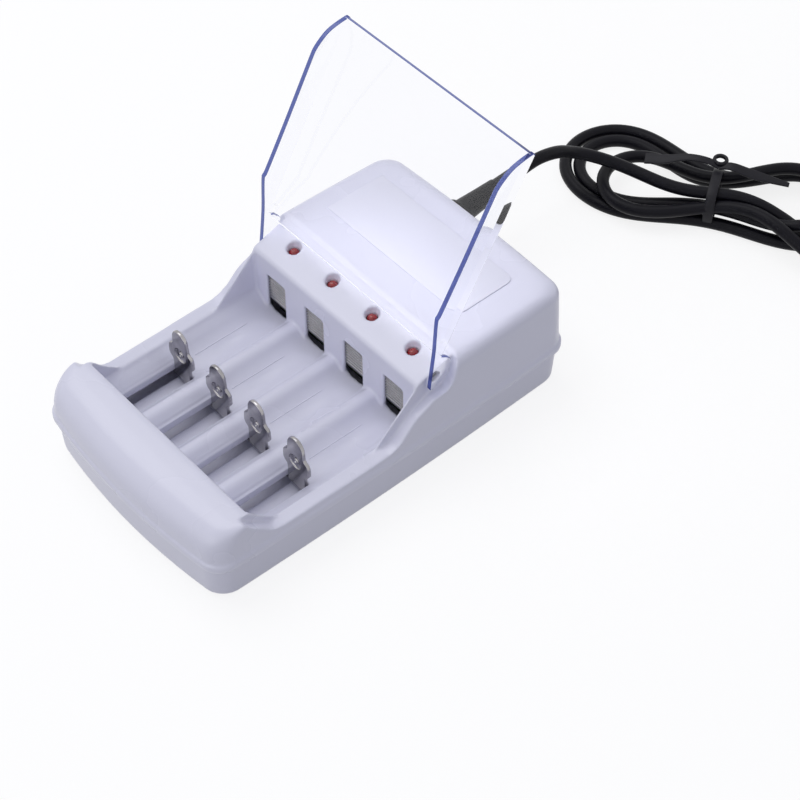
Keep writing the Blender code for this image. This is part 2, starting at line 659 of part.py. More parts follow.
def tube(name, points, radius, finish, resolution):
    """A round wire or lead through points, as a curve with filled ends."""
    data = bpy.data.curves.new(name, "CURVE")
    data.dimensions = "3D"
    line = data.splines.new("POLY")
    line.points.add(len(points) - 1)
    for slot, p in zip(line.points, points):
        slot.co = (*p, 1.0)
    data.bevel_depth = radius
    data.bevel_resolution = resolution
    data.use_fill_caps = True
    data.materials.append(finish)
    thing = bpy.data.objects.new(name, data)
    parts.objects.link(thing)
    return thing


def make_positive_contacts(finish):
    """Ribbed plates behind the windows, each with a leg back to the contact board."""
    front = CAVITY_Y + GAP
    ribs = 6
    low = WINDOW_TOP_Z - 9.6 * MM
    high = WINDOW_TOP_Z + 0.6 * MM
    step = (high - low) / ribs
    points = []
    for k in range(ribs):
        z = low + k * step
        points += [(front + 0.4 * MM, z + 0.1 * step), (front, z + 0.35 * step), (front, z + 0.6 * step)]
        points.append((front + 0.4 * MM, z + 0.85 * step))
    back = front + 0.4 * MM + SHEET
    points += [(front + 0.4 * MM, high + 1.4 * MM), (back, high + 1.4 * MM), (back, low)]
    points += [(BOARD_Y - GAP, low), (BOARD_Y - GAP, low - SHEET), (front + 0.4 * MM, low - SHEET)]
    half = WINDOW_WIDTH / 2 + 1.2 * MM
    for i, x in enumerate(BAY_X):
        prism(f"positive_contact_{i + 1}", points, "x", x - half, x + half, finish)


def make_lamps(finish):
    """Round-nosed 3 mm lamps in the ledge's holes, their legs astride the contact board."""
    base = lamp_base()
    profile = [(0.0, LAMP_LENGTH)]
    for angle in (60, 30, 0):
        turn = math.radians(angle)
        drop = LAMP_LENGTH - LAMP_RADIUS + LAMP_RADIUS * math.sin(turn)
        profile.append((LAMP_RADIUS * math.cos(turn), drop))
    profile += [(LAMP_RADIUS, 1.0 * MM), (LAMP_RADIUS + 0.35 * MM, 1.0 * MM), (LAMP_RADIUS + 0.35 * MM, 0.0)]
    profile.append((0.0, 0.0))
    segments = 16
    for i, x in enumerate(BAY_X):
        n = i + 1
        mesh = bmesh.new()
        turns = [2 * math.pi * k / segments for k in range(segments)]
        body = profile[1:-1]
        rows = [[mesh.verts.new((r * math.cos(t), r * math.sin(t), z)) for t in turns] for r, z in body]
        for upper, lower in zip(rows, rows[1:]):
            for k in range(segments):
                j = (k + 1) % segments
                mesh.faces.new((upper[k], lower[k], lower[j], upper[j]))
        tip = mesh.verts.new((0.0, 0.0, profile[0][1]))
        for k in range(segments):
            mesh.faces.new((tip, rows[0][k], rows[0][(k + 1) % segments]))
        mesh.faces.new(rows[-1][::-1])
        bmesh.ops.translate(mesh, verts=mesh.verts, vec=(x, LAMP_Y, base))
        lamp = keep(f"lamp_{n}", mesh, finish)
        for k, side in enumerate((-1, 1)):
            y = LAMP_Y + side * (BOARD_THICKNESS / 2 + GAP + 0.25 * MM)
            low = (x - 0.25 * MM, y - 0.25 * MM, base - 5 * MM)
            high = (x + 0.25 * MM, y + 0.25 * MM, base + 0.5 * MM)
            combine(lamp, box(f"lamp_leg_{n}_{k + 1}", low, high), "UNION")


def lamp_base():
    """Underside of the lamps, which show just below the ledge's surface."""
    surface = LEDGE_Z + 1.3 * MM + (LAMP_SETBACK - 1.9 * MM) * math.tan(LEDGE_ANGLE)
    return surface - 0.5 * MM - LAMP_LENGTH


def make_boards(board, dark, core):
    """The contact board, the power board and what stands on it."""
    half = CHEEK_OUT - WALL - 0.6 * MM
    low = (-half, BOARD_Y, board_bottom())
    box("contact_board", low, (half, BOARD_Y + BOARD_THICKNESS, lamp_base() - GAP), board)
    (x0, y0), (x1, y1) = power_board_span()
    z = power_board_z()
    top = z + POWER_BOARD_THICKNESS
    box("power_board", (x0, y0, z), (x1, y1, top), board)
    seat = top + GAP
    cy = (y0 + y1) / 2
    high_x = x1 - TRANSFORMER_EDGE
    low_x = high_x - TRANSFORMER_WIDTH
    deep = TRANSFORMER_DEPTH / 2
    high = (high_x, cy + deep, seat + TRANSFORMER_HEIGHT)
    transformer = box("transformer", (low_x, cy - deep, seat), high, core)
    side = 4 * MM
    coil_low = (low_x + side, cy - COIL_DEPTH / 2, seat + side)
    coil_high = (high_x - side, cy + COIL_DEPTH / 2, seat + TRANSFORMER_HEIGHT - side)
    combine(transformer, box("coil", coil_low, coil_high), "UNION")
    y = cy - deep
    for i, radius in enumerate(CAPACITOR_RADIUS):
        centre = (x0 + 3 * MM + radius, y, seat + CAPACITOR_HEIGHT / 2)
        cylinder(f"capacitor_{i + 1}", centre, radius, CAPACITOR_HEIGHT, segments=20, finish=dark)
        y += 2 * radius + 2.5 * MM


def arm_outline():
    """Side view of a lid flange with its arm, from the pivot to the free corner."""
    direction = Vector((math.cos(LID_LEAN), math.sin(LID_LEAN)))
    inward = Vector((-direction.y, direction.x))
    root = Vector((PIVOT.y, PIVOT.z)) + direction * LID_PLATE_START + inward * LID_PLATE_DROP
    end = root + direction * LID_PLATE_LENGTH
    flange = LID_FLANGE

    def at(along, across):
        p = root + direction * along + inward * across
        return (p.x, p.y)

    arm = ((3.3, 6.5), (4.4, 4.7), (3.4, 1.6), (2.4, -0.3), (1.1, -1.4), (-1.2, -2.5), (-2.6, -2.6))
    arm += ((-3.0, -2.0), (-2.3, 3.8), (-1.4, 12.0))
    points = [at(0.0, 0.0)] + [(PIVOT.y + a * MM, PIVOT.z + b * MM) for a, b in arm]
    length = LID_PLATE_LENGTH
    points += [at(12.0 * MM, flange + 0.2 * MM), at(14.2 * MM, flange)]
    points.append(at(length - 13.5 * MM, flange + 0.3 * MM))
    points += [at(length - 10.5 * MM, flange + 0.2 * MM), at(length - 7.4 * MM, flange - 0.8 * MM)]
    points += [at(length - 4.7 * MM, flange - 2.3 * MM), at(length - 2.5 * MM, flange - 4.6 * MM)]
    points += [at(length - 1.0 * MM, 1.9 * MM), at(length, 0.8 * MM), at(length - 0.5 * MM, 0.0)]
    return points, root, direction, inward, end


def make_lid(finish):
    """The clear lid: a plate, two flanges with hinge arms and two inward pins."""
    points, root, direction, inward, end = arm_outline()
    sides = []
    for side, name in ((-1, "left"), (1, "right")):
        low, high = sorted((side * LID_OUT, side * (LID_OUT - LID_THICKNESS)))
        if side < 0:
            lid = prism("lid", points, "x", low, high, finish)
        else:
            sides.append(prism("lid_flange_right", points, "x", low, high))
        pin_in = CHEEK_OUT - WALL + 0.2 * MM
        pin_out = LID_OUT - LID_THICKNESS / 2
        middle = (side * (pin_in + pin_out) / 2, PIVOT.y, PIVOT.z)
        sides.append(cylinder(f"lid_pin_{name}", middle, PIN_RADIUS, pin_out - pin_in, "x"))
    thick = inward * LID_THICKNESS
    start_at = root + direction * 0.2 * MM
    stop_at = end - direction * 0.5 * MM
    skin = inward * 0.02 * MM
    corners = [start_at + skin, stop_at + skin, stop_at + thick, start_at + thick]
    half = LID_OUT - LID_THICKNESS / 2
    plate = prism("lid_plate", [(p.x, p.y) for p in corners], "x", -half, half)
    for other in [plate] + sides:
        combine(lid, other, "UNION")
    for side, name in ((-1, "left"), (1, "right")):
        low, high = sorted((side * (BAY_HALF - 0.4 * MM), side * (LID_OUT - LID_THICKNESS)))
        corners = [root + direction * along + inward * across for along, across in (
            (-1.0 * MM, -1.0 * MM), (LID_NOTCH, -1.0 * MM), (LID_NOTCH, 2.5 * MM), (-1.0 * MM, 2.5 * MM))]
        combine(lid, prism(f"lid_notch_{name}", [(p.x, p.y) for p in corners], "x", low, high))
    return lid


def make_label(finish):
    """A thin blank label on the deck, with round corners at the right."""
    x0 = -BODY_HALF_WIDTH + LABEL_LEFT
    x1 = BODY_HALF_WIDTH - LABEL_RIGHT
    y0 = LEDGE_REAR + LABEL_FRONT
    y1 = BODY_HALF_LENGTH - LABEL_REAR
    radius = LABEL_CORNER
    points = [(x0, y0)]
    for cy, start_angle in ((y0 + radius, -90), (y1 - radius, 0)):
        for k in range(5):
            turn = math.radians(start_angle + 22.5 * k)
            points.append((x1 - radius + radius * math.cos(turn), cy + radius * math.sin(turn)))
    points.append((x0, y1))
    low = BODY_HEIGHT + 0.05 * MM
    prism("label", points, "z", low, low + LABEL_THICKNESS, finish)


def ring(centre, radius, slope=0.0, count=20):
    """A circle of points that faces along Y, tipped up by a slope."""
    points = []
    for k in range(count):
        turn = 2 * math.pi * k / count
        up = radius * math.cos(turn)
        points.append((centre.x + radius * math.sin(turn), centre.y - up * slope, centre.z + up))
    return points


def boot_centre(y):
    """The boot's slightly rising centre line."""
    start_y = BODY_HALF_LENGTH + 0.5 * MM
    share = max(0.0, min(1.0, (y - start_y) / (BOOT_LENGTH - 0.5 * MM)))
    return Vector((BOOT_X, y, BOOT_Z + BOOT_RISE * share**1.4))


def make_strain_relief(finish):
    """The soft black boot: a flange inside, a neck through the wall, a ribbed base and a cone."""
    wall_y = BODY_HALF_LENGTH - REAR_BOW * (BOOT_X / BODY_HALF_WIDTH) ** 2 - LIP_PROUD
    inside = wall_y - WALL
    steps = [
        (inside - 2.4 * MM, BOOT_RADIUS - 0.3 * MM), (inside - 0.8 * MM, BOOT_RADIUS - 0.3 * MM),
        (inside - 0.75 * MM, BOOT_NECK), (wall_y + 0.75 * MM, BOOT_NECK),
        (wall_y + 0.8 * MM, BOOT_RADIUS), (wall_y + 6.0 * MM, BOOT_RADIUS + 0.1 * MM),
        (wall_y + 7.6 * MM, BOOT_RADIUS - 0.2 * MM), (wall_y + 8.1 * MM, BOOT_RADIUS - 1.1 * MM),
        (wall_y + 10.0 * MM, BOOT_RADIUS - 1.25 * MM), (wall_y + 22.0 * MM, CORD_RADIUS + 0.95 * MM),
        (wall_y + 22.3 * MM, CORD_RADIUS + 0.55 * MM),
        (BODY_HALF_LENGTH + BOOT_LENGTH, CORD_RADIUS + 0.35 * MM),
    ]
    loft("strain_relief", [ring(boot_centre(y), r) for y, r in steps], finish)


FEED = [(-16.5, 97.5, 22.4), (-16.5, 102.5, 22.8), (-16.5, 107.5, 22.2), (-16.4, 113.8, 20.1),
        (-15.6, 119.4, 17.2), (-12.6, 125.2, 15.0), (-6.4, 129.2, 14.5), (0.5, 131.6, 14.5)]
TAIL = [(58.2, 155.4, 5.5), (65.0, 157.4, 5.5), (72.5, 160.8, 6.0), (77.8, 166.0, 6.8),
        (78.4, 172.0, 7.2), (75.6, 176.0, 7.2)]
HANK_LEFT = (-5.0, 137.5)
HANK_RIGHT = (34.6, 166.7)
PLUG_AT = (60.4, 193.0)
PLUG_TURN = math.radians(132.0)


def smooth_route(route, spacing):
    """Points at an even spacing on a smooth curve through a route given in millimetres."""
    knots = [Vector(p) * MM for p in route]
    knots = [knots[0] * 2 - knots[1]] + knots + [knots[-1] * 2 - knots[-2]]
    fine = []
    for a, b, c, d in zip(knots, knots[1:], knots[2:], knots[3:]):
        for k in range(24):
            t = k / 24
            fine.append(0.5 * (2 * b + (c - a) * t + (2 * a - 5 * b + 4 * c - d) * t * t
                               + (3 * b - a - 3 * c + d) * t**3))
    fine.append(knots[-2])
    total = sum((q - p).length for p, q in zip(fine, fine[1:]))
    wanted = [total * k / round(total / spacing) for k in range(round(total / spacing) + 1)]
    points = []
    run = 0.0
    for p, q in zip(fine, fine[1:]):
        step = (q - p).length
        while wanted and wanted[0] <= run + step + 1e-9:
            points.append(p.lerp(q, (wanted.pop(0) - run) / step))
        run += step
    return points


def make_cord(finish, tie_finish):
    """The lead from the boot to the hank, the hank as one outline, its tail and the tie."""
    spacing = 2.5 * 2 * CORD_RADIUS
    start_y = BODY_HALF_LENGTH + BOOT_LENGTH + GAP
    shift = Vector((0.0, start_y / MM - FEED[0][1], 0.0))
    feed = [tuple(Vector(p) + shift) for p in FEED]
    tube("cord", smooth_route(feed, spacing), CORD_RADIUS, finish, 2)
    tube("cord_tail", smooth_route(TAIL, spacing), CORD_RADIUS, finish, 2)
    left = Vector(HANK_LEFT) * MM
    right = Vector(HANK_RIGHT) * MM
    along = (right - left).normalized()
    base = math.atan2(along.y, along.x)
    points = []
    for centre, first in ((right, -90), (left, 90)):
        for k in range(13):
            turn = base + math.radians(first + 15 * k)
            points.append((centre.x + HANK_RADIUS * math.cos(turn), centre.y + HANK_RADIUS * math.sin(turn)))
    prism("cord_hank", points, "z", FLOOR_GAP, FLOOR_GAP + HANK_HEIGHT, finish)
    middle = (left + right) / 2
    low = FLOOR_GAP + HANK_HEIGHT + GAP
    cylinder("cord_tie", (middle.x, middle.y, low + 1.5 * MM), 3.0 * MM, 3.0 * MM, finish=tie_finish)


def make_plug(finish, pin_finish):
    """A moulded plug with two flat pins, lying beside the hank."""
    place = Matrix.Translation(Vector((*PLUG_AT, 0.0)) * MM) @ Matrix.Rotation(PLUG_TURN, 4, "Z")
    half = PLUG_LENGTH / 2
    wide = PLUG_WIDTH / 2
    middle = FLOOR_GAP + PLUG_HEIGHT / 2
    steps = [(-half - 9.0 * MM, 2.6, 2.6), (-half - 1.0 * MM, 4.2, 3.6), (-half + 0.5 * MM, 7.0, 4.6),
             (-half + 4.5 * MM, 9.4, 6.2), (-half + 10.0 * MM, 10.6, 6.9), (half - 1.2 * MM, 11.0, 7.0),
             (half, 10.2, 6.2)]
    rings = []
    for along, w, h in steps:
        points = []
        for k in range(20):
            turn = 2 * math.pi * k / 20
            c, s = math.cos(turn), math.sin(turn)
            across = math.copysign(abs(c) ** 0.55, c) * w * wide / 11.0
            up = math.copysign(abs(s) ** 0.55, s) * h * PLUG_HEIGHT / 14.0
            points.append(place @ Vector((along, across, middle + up)))
        rings.append(points)
    body = loft("plug", rings, finish)
    for i, side in enumerate((-1, 1)):
        name = f"plug_pin_{i + 1}"
        y = side * 6.35 * MM
        for kind, grow, material_of in (("pocket", GAP, None), ("pin", 0.0, pin_finish)):
            low = Vector((half - 4.0 * MM - grow, y - 0.75 * MM - grow, middle - 3.1 * MM - grow))
            high = Vector((half + 15.0 * MM, y + 0.75 * MM + grow, middle + 3.1 * MM + grow))
            if kind == "pocket":
                thing = box(f"pocket_{i + 1}", low, high)
                combine(body, thing)
            else:
                thing = box(name, low, high, material_of)
            thing.data.transform(place)


def main():
    """Builds every piece."""
    start()
    white = material("white_plastic", (0.82, 0.83, 0.87), 0.32)
    clear = material("clear_plastic", (0.92, 0.95, 1.0), 0.05, alpha=0.25)
    nickel = material("nickel", (0.62, 0.6, 0.58), 0.25, 1.0)
    steel = material("spring_steel", (0.5, 0.5, 0.5), 0.35, 1.0)
    red = material("red_lamp", (0.55, 0.02, 0.03), 0.12)
    green = material("circuit_board", (0.05, 0.25, 0.1), 0.5)
    dark = material("capacitor_sleeve", (0.03, 0.03, 0.05), 0.4)
    core = material("transformer_core", (0.12, 0.1, 0.09), 0.6)
    paper = material("label_film", (0.88, 0.89, 0.93), 0.4)
    rubber = material("black_vinyl", (0.012, 0.012, 0.014), 0.4)
    brass = material("plated_brass", (0.75, 0.7, 0.55), 0.25, 1.0)
    make_upper_shell(white)
    make_lower_shell(white)
    make_lid(clear)
    make_negative_contacts(nickel)
    make_springs(steel)
    make_positive_contacts(nickel)
    make_lamps(red)
    make_boards(green, dark, core)
    make_screws(steel)
    make_label(paper)
    make_strain_relief(rubber)
    make_cord(rubber, rubber)
    make_plug(rubber, brass)


main()
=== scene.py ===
"""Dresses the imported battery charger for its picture.

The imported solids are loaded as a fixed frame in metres, +Z up, with X across the bays and Y from
the bumper to the rear wall. Each sub-assembly below models its visible pieces round that frame,
and each finish below is a procedural material.
"""
from __future__ import annotations

import logging
import math
from collections.abc import Sequence
from dataclasses import dataclass, field
from enum import Enum

import bpy
import numpy as np
from mathutils import Matrix, Vector


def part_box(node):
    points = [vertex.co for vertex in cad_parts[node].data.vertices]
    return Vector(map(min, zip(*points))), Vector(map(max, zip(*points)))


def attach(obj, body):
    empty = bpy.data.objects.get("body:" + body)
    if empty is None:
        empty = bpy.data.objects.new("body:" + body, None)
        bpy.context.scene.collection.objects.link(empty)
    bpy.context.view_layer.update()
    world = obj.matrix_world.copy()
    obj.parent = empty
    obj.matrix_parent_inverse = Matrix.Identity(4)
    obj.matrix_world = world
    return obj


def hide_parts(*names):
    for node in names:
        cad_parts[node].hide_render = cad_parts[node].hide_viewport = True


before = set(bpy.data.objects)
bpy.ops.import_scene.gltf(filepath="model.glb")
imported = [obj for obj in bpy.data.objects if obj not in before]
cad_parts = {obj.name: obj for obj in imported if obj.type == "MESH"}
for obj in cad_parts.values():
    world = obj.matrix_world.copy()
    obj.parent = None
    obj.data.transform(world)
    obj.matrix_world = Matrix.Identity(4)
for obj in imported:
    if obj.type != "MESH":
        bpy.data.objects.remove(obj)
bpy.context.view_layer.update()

MM = 0.001
FAR = 0.2
SHELL_FACES = 190000
BASE_FACES = 150000
RELAX = 0.5
RELAX_AFTER = 0.35
RELAX_PASSES = 2
CELLS = 4
BAYS = range(1, CELLS + 1)
log = logging.getLogger("charger")

Point2 = tuple[float, float]
Point3 = tuple[float, float, float]
Thing = bpy.types.Object


class Join(Enum):
    """How a cutter meets its target."""

    CUT = "DIFFERENCE"
    ADD = "UNION"


class Axis(Enum):
    """An axis of the frame."""

    X = "x"
    Y = "y"
    Z = "z"

    def place(self, a: float, b: float, c: float) -> Point3:
        """Puts a point (a, b) of a flat outline at a distance c along the axis."""
        return {"x": (c, a, b), "y": (a, c, b), "z": (a, b, c)}[self.value]

    def turn(self) -> tuple[float, float, float]:
        """The rotation that lays a +Z primitive along the axis."""
        return {"x": (0.0, math.pi / 2, 0.0), "y": (math.pi / 2, 0.0, 0.0), "z": (0.0, 0.0, 0.0)}[self.value]


class Bench:
    """Modelling steps that the sub-assemblies share."""

    @staticmethod
    def take(*things: Thing) -> None:
        """Leaves just these objects selected, the first of them active."""
        for other in list(bpy.context.selected_objects):
            other.select_set(False)
        for thing in things:
            thing.select_set(True)
        if things:
            bpy.context.view_layer.objects.active = things[0]

    @staticmethod
    def settle(name: str) -> Thing:
        """Applies the new primitive's place to its mesh and names it.

        Args:
            name: The name of the piece.

        Returns:
            The object, at the origin, unturned and unscaled.
        """
        thing = bpy.context.object
        bpy.ops.object.transform_apply(location=True, rotation=True, scale=True)
        thing.name = name
        thing.data.name = name
        return thing

    @staticmethod
    def face_out(thing: Thing, merge: float = 0.0) -> None:
        """Merges doubles where asked, fills open rims and turns every face outwards.

        Args:
            thing: The mesh object.
            merge: The distance in metres under which points are merged.
        """
        Bench.take(thing)
        bpy.ops.object.mode_set(mode="EDIT")
        bpy.ops.mesh.select_all(action="SELECT")
        if merge:
            bpy.ops.mesh.remove_doubles(threshold=merge)
            bpy.ops.mesh.fill_holes(sides=0)
            bpy.ops.mesh.select_all(action="SELECT")
        bpy.ops.mesh.normals_make_consistent(inside=False)
        bpy.ops.object.mode_set(mode="OBJECT")

    @staticmethod
    def block(name: str, low: Point3, high: Point3, edge: float = 0.0, steps: int = 2) -> Thing:
        """A block between two corners, its edges rounded where asked.

        Args:
            name: The name of the piece.
            low: Its lowest corner.
            high: Its highest corner.
            edge: The radius of its edges.
            steps: The segments across each round edge.

        Returns:
            The block.
        """
        middle = [(a + b) / 2 for a, b in zip(low, high)]
        Bench.take()
        bpy.ops.mesh.primitive_cube_add(size=1.0, location=middle)
        bpy.context.object.scale = [b - a for a, b in zip(low, high)]
        thing = Bench.settle(name)
        if edge:
            bpy.ops.object.mode_set(mode="EDIT")
            bpy.ops.mesh.select_all(action="SELECT")
            bpy.ops.mesh.bevel(offset=edge, segments=steps, affect="EDGES")
            bpy.ops.object.mode_set(mode="OBJECT")
        return thing

    @staticmethod
    def drum(name: str, middle: Point3, radius: float, length: float, axis: Axis = Axis.Z,
             sides: int = 48) -> Thing:
        """A round bar about a middle point, along an axis."""
        Bench.take()
        bpy.ops.mesh.primitive_cylinder_add(
            vertices=sides, radius=radius, depth=length, location=middle, rotation=axis.turn())
        return Bench.settle(name)

    @staticmethod
    def slab(name: str, points: Sequence[Point2], axis: Axis, low: float, high: float) -> Thing:
        """A flat outline pulled along an axis.

        Args:
            name: The name of the piece.
            points: The outline in the plane across the axis.
            axis: The axis to pull along.
            low: Where the slab starts on the axis.
            high: Where it ends.

        Returns:
            The closed slab.
        """
        Bench.take()
        bpy.ops.mesh.primitive_circle_add(vertices=len(points), radius=1.0, fill_type="NGON")
        thing = Bench.settle(name)
        for vertex, (a, b) in zip(thing.data.vertices, points):
            vertex.co = axis.place(a, b, low)
        bpy.ops.object.mode_set(mode="EDIT")
        bpy.ops.mesh.select_all(action="SELECT")
        pull = axis.place(0.0, 0.0, high - low)
        bpy.ops.mesh.extrude_region_move(TRANSFORM_OT_translate={"value": pull})
        bpy.ops.object.mode_set(mode="OBJECT")
        Bench.face_out(thing)
        return thing

    @staticmethod
    def skin(name: str, rings: Sequence[Sequence[Point3]], closed_path: bool = False) -> Thing:
        """A closed skin through rings of equal counts.

        Args:
            name: The name of the piece.
            rings: The rings, each a loop of points.
            closed_path: Whether the last ring meets the first.

        Returns:
            The skin, capped at both ends unless its path is closed.
        """
        rows = [list(ring) + [ring[0]] for ring in rings]
        if closed_path:
            rows.append(rows[0])
        count = len(rows[0])
        Bench.take()
        bpy.ops.mesh.primitive_grid_add(x_subdivisions=count - 1, y_subdivisions=len(rows) - 1)
        thing = Bench.settle(name)
        flat = np.array([point for row in rows for point in row], dtype=np.float64).ravel()
        thing.data.vertices.foreach_set("co", flat)
        thing.data.update()
        Bench.face_out(thing, merge=1e-7)
        return thing

    @staticmethod
    def turned(name: str, profile: Sequence[Point2], centre: Point3, axis: Axis, sides: int = 48) -> Thing:
        """A turned piece from a profile of radius and distance along its axis.

        Args:
            name: The name of the piece.
            profile: Pairs of radius and distance, from one end to the other.
            centre: The point that the distances start from.
            axis: The axis of the turning.
            sides: The points in each ring.

        Returns:
            The turned piece.
        """
        rings = []
        for radius, along in profile:
            ring = []
            for k in range(sides):
                angle = 2 * math.pi * k / sides
                offset = axis.place(radius * math.cos(angle), radius * math.sin(angle), along)
                ring.append(tuple(c + o for c, o in zip(centre, offset)))
            rings.append(ring)
        return Bench.skin(name, rings)

    @staticmethod
    def change(thing: Thing, kind: str, **settings: object) -> None:
        """Adds a modifier with settings and applies it."""
        step = thing.modifiers.new(kind.lower(), kind)
        for key, value in settings.items():
            setattr(step, key, value)
        Bench.take(thing)
        bpy.ops.object.modifier_apply(modifier=step.name)

    @staticmethod
    def carve(target: Thing, cutter: Thing, join: Join = Join.CUT) -> None:
        """Cuts a piece out of a target, or adds it on, and clears the cutter away."""
        Bench.change(target, "BOOLEAN", operation=join.value, object=cutter, solver="EXACT")
        mesh = cutter.data
        bpy.data.objects.remove(cutter)
        bpy.data.meshes.remove(mesh)

    @staticmethod
    def soften(thing: Thing, voxel: float, keep_faces: int) -> None:
        """Gives a cut shape the small even radius of a moulding.

        Args:
            thing: The closed mesh.
            voxel: The size of the remesh in metres.
            keep_faces: About how many triangles stay.
        """
        Bench.change(thing, "REMESH", mode="VOXEL", voxel_size=voxel, use_smooth_shade=True)
        Bench.change(thing, "SMOOTH", factor=RELAX, iterations=RELAX_PASSES)
        count = sum(len(face.vertices) - 2 for face in thing.data.polygons)
        if count > keep_faces:
            Bench.change(thing, "DECIMATE", decimate_type="COLLAPSE", ratio=keep_faces / count)
            Bench.change(thing, "SMOOTH", factor=RELAX_AFTER, iterations=RELAX_PASSES)
        thing.data.shade_smooth()

    @staticmethod
    def round_edges(thing: Thing, width: float, steps: int = 2, angle: float = 35.0) -> None:
        """Rounds every edge sharper than an angle and shades the piece smooth."""
        Bench.change(thing, "BEVEL", width=width, segments=steps, limit_method="ANGLE",
                     angle_limit=math.radians(angle), harden_normals=False)
        Bench.smooth(thing)

    @staticmethod
    def smooth(thing: Thing, angle: float = 40.0) -> None:
        """Shades a piece smooth, but for edges sharper than an angle."""
        Bench.take(thing)
        bpy.ops.object.shade_smooth_by_angle(angle=math.radians(angle))

    @staticmethod
    def copy(thing: Thing, name: str, shift: Point3) -> Thing:
        """A copy of a piece with a mesh of its own, moved in its mesh."""
        twin = thing.copy()
        twin.data = thing.data.copy()
        twin.name = name
        twin.data.name = name
        twin.data.transform(Matrix.Translation(Vector(shift)))
        bpy.context.collection.objects.link(twin)
        return twin

    @staticmethod
    def strip(name: str, path: Sequence[Vector], sides: Sequence[Vector], widths: Sequence[float],
              thickness: float) -> Thing:
        """A flat band with round edges that follows a path.

        Args:
            name: The name of the piece.
            path: The middle of the band.
            sides: The direction across the band at each point.
            widths: The band's width at each point.
            thickness: Its thickness.

        Returns:
            The band.
        """
        rings = []
        for i, point in enumerate(path):
            ahead = (path[min(i + 1, len(path) - 1)] - path[max(i - 1, 0)]).normalized()
            across = (sides[i] - ahead * sides[i].dot(ahead)).normalized()
            up = ahead.cross(across)
            half = widths[i] / 2 - thickness / 2
            ring = []
            for centre, first in ((half, -90.0), (-half, 90.0)):
                for k in range(5):
                    angle = math.radians(first + 45.0 * k)
                    offset = across * (centre + math.cos(angle) * thickness / 2)
                    ring.append(tuple(point + offset + up * (math.sin(angle) * thickness / 2)))
            rings.append(ring)
        return Bench.skin(name, rings)


def smooth_path(points: Sequence[Sequence[float]], spacing: float) -> list[Vector]:
    """Evenly spaced points on a smooth curve through others.

    Args:
        points: Points that the curve passes.
        spacing: The distance between the points that come back, in the same unit.

    Returns:
        The points.
    """
    knots = [Vector(p) for p in points]
    knots = [knots[0] * 2 - knots[1]] + knots + [knots[-1] * 2 - knots[-2]]
    fine: list[Vector] = []
    for a, b, c, d in zip(knots, knots[1:], knots[2:], knots[3:]):
        for k in range(24):
            t = k / 24
            fine.append(0.5 * (2 * b + (c - a) * t + (2 * a - 5 * b + 4 * c - d) * t * t
                               + (3 * b - a - 3 * c + d) * t**3))
    fine.append(knots[-2])
    total = sum((q - p).length for p, q in zip(fine, fine[1:]))
    steps = max(1, round(total / spacing))
    wanted = [total * k / steps for k in range(steps + 1)]
    found: list[Vector] = []
    run = 0.0
    for p, q in zip(fine, fine[1:]):
        step = (q - p).length
        while wanted and wanted[0] <= run + step + 1e-9:
            found.append(p.lerp(q, (wanted.pop(0) - run) / step))
        run += step
    if wanted:
        found.append(fine[-1].copy())
    return found


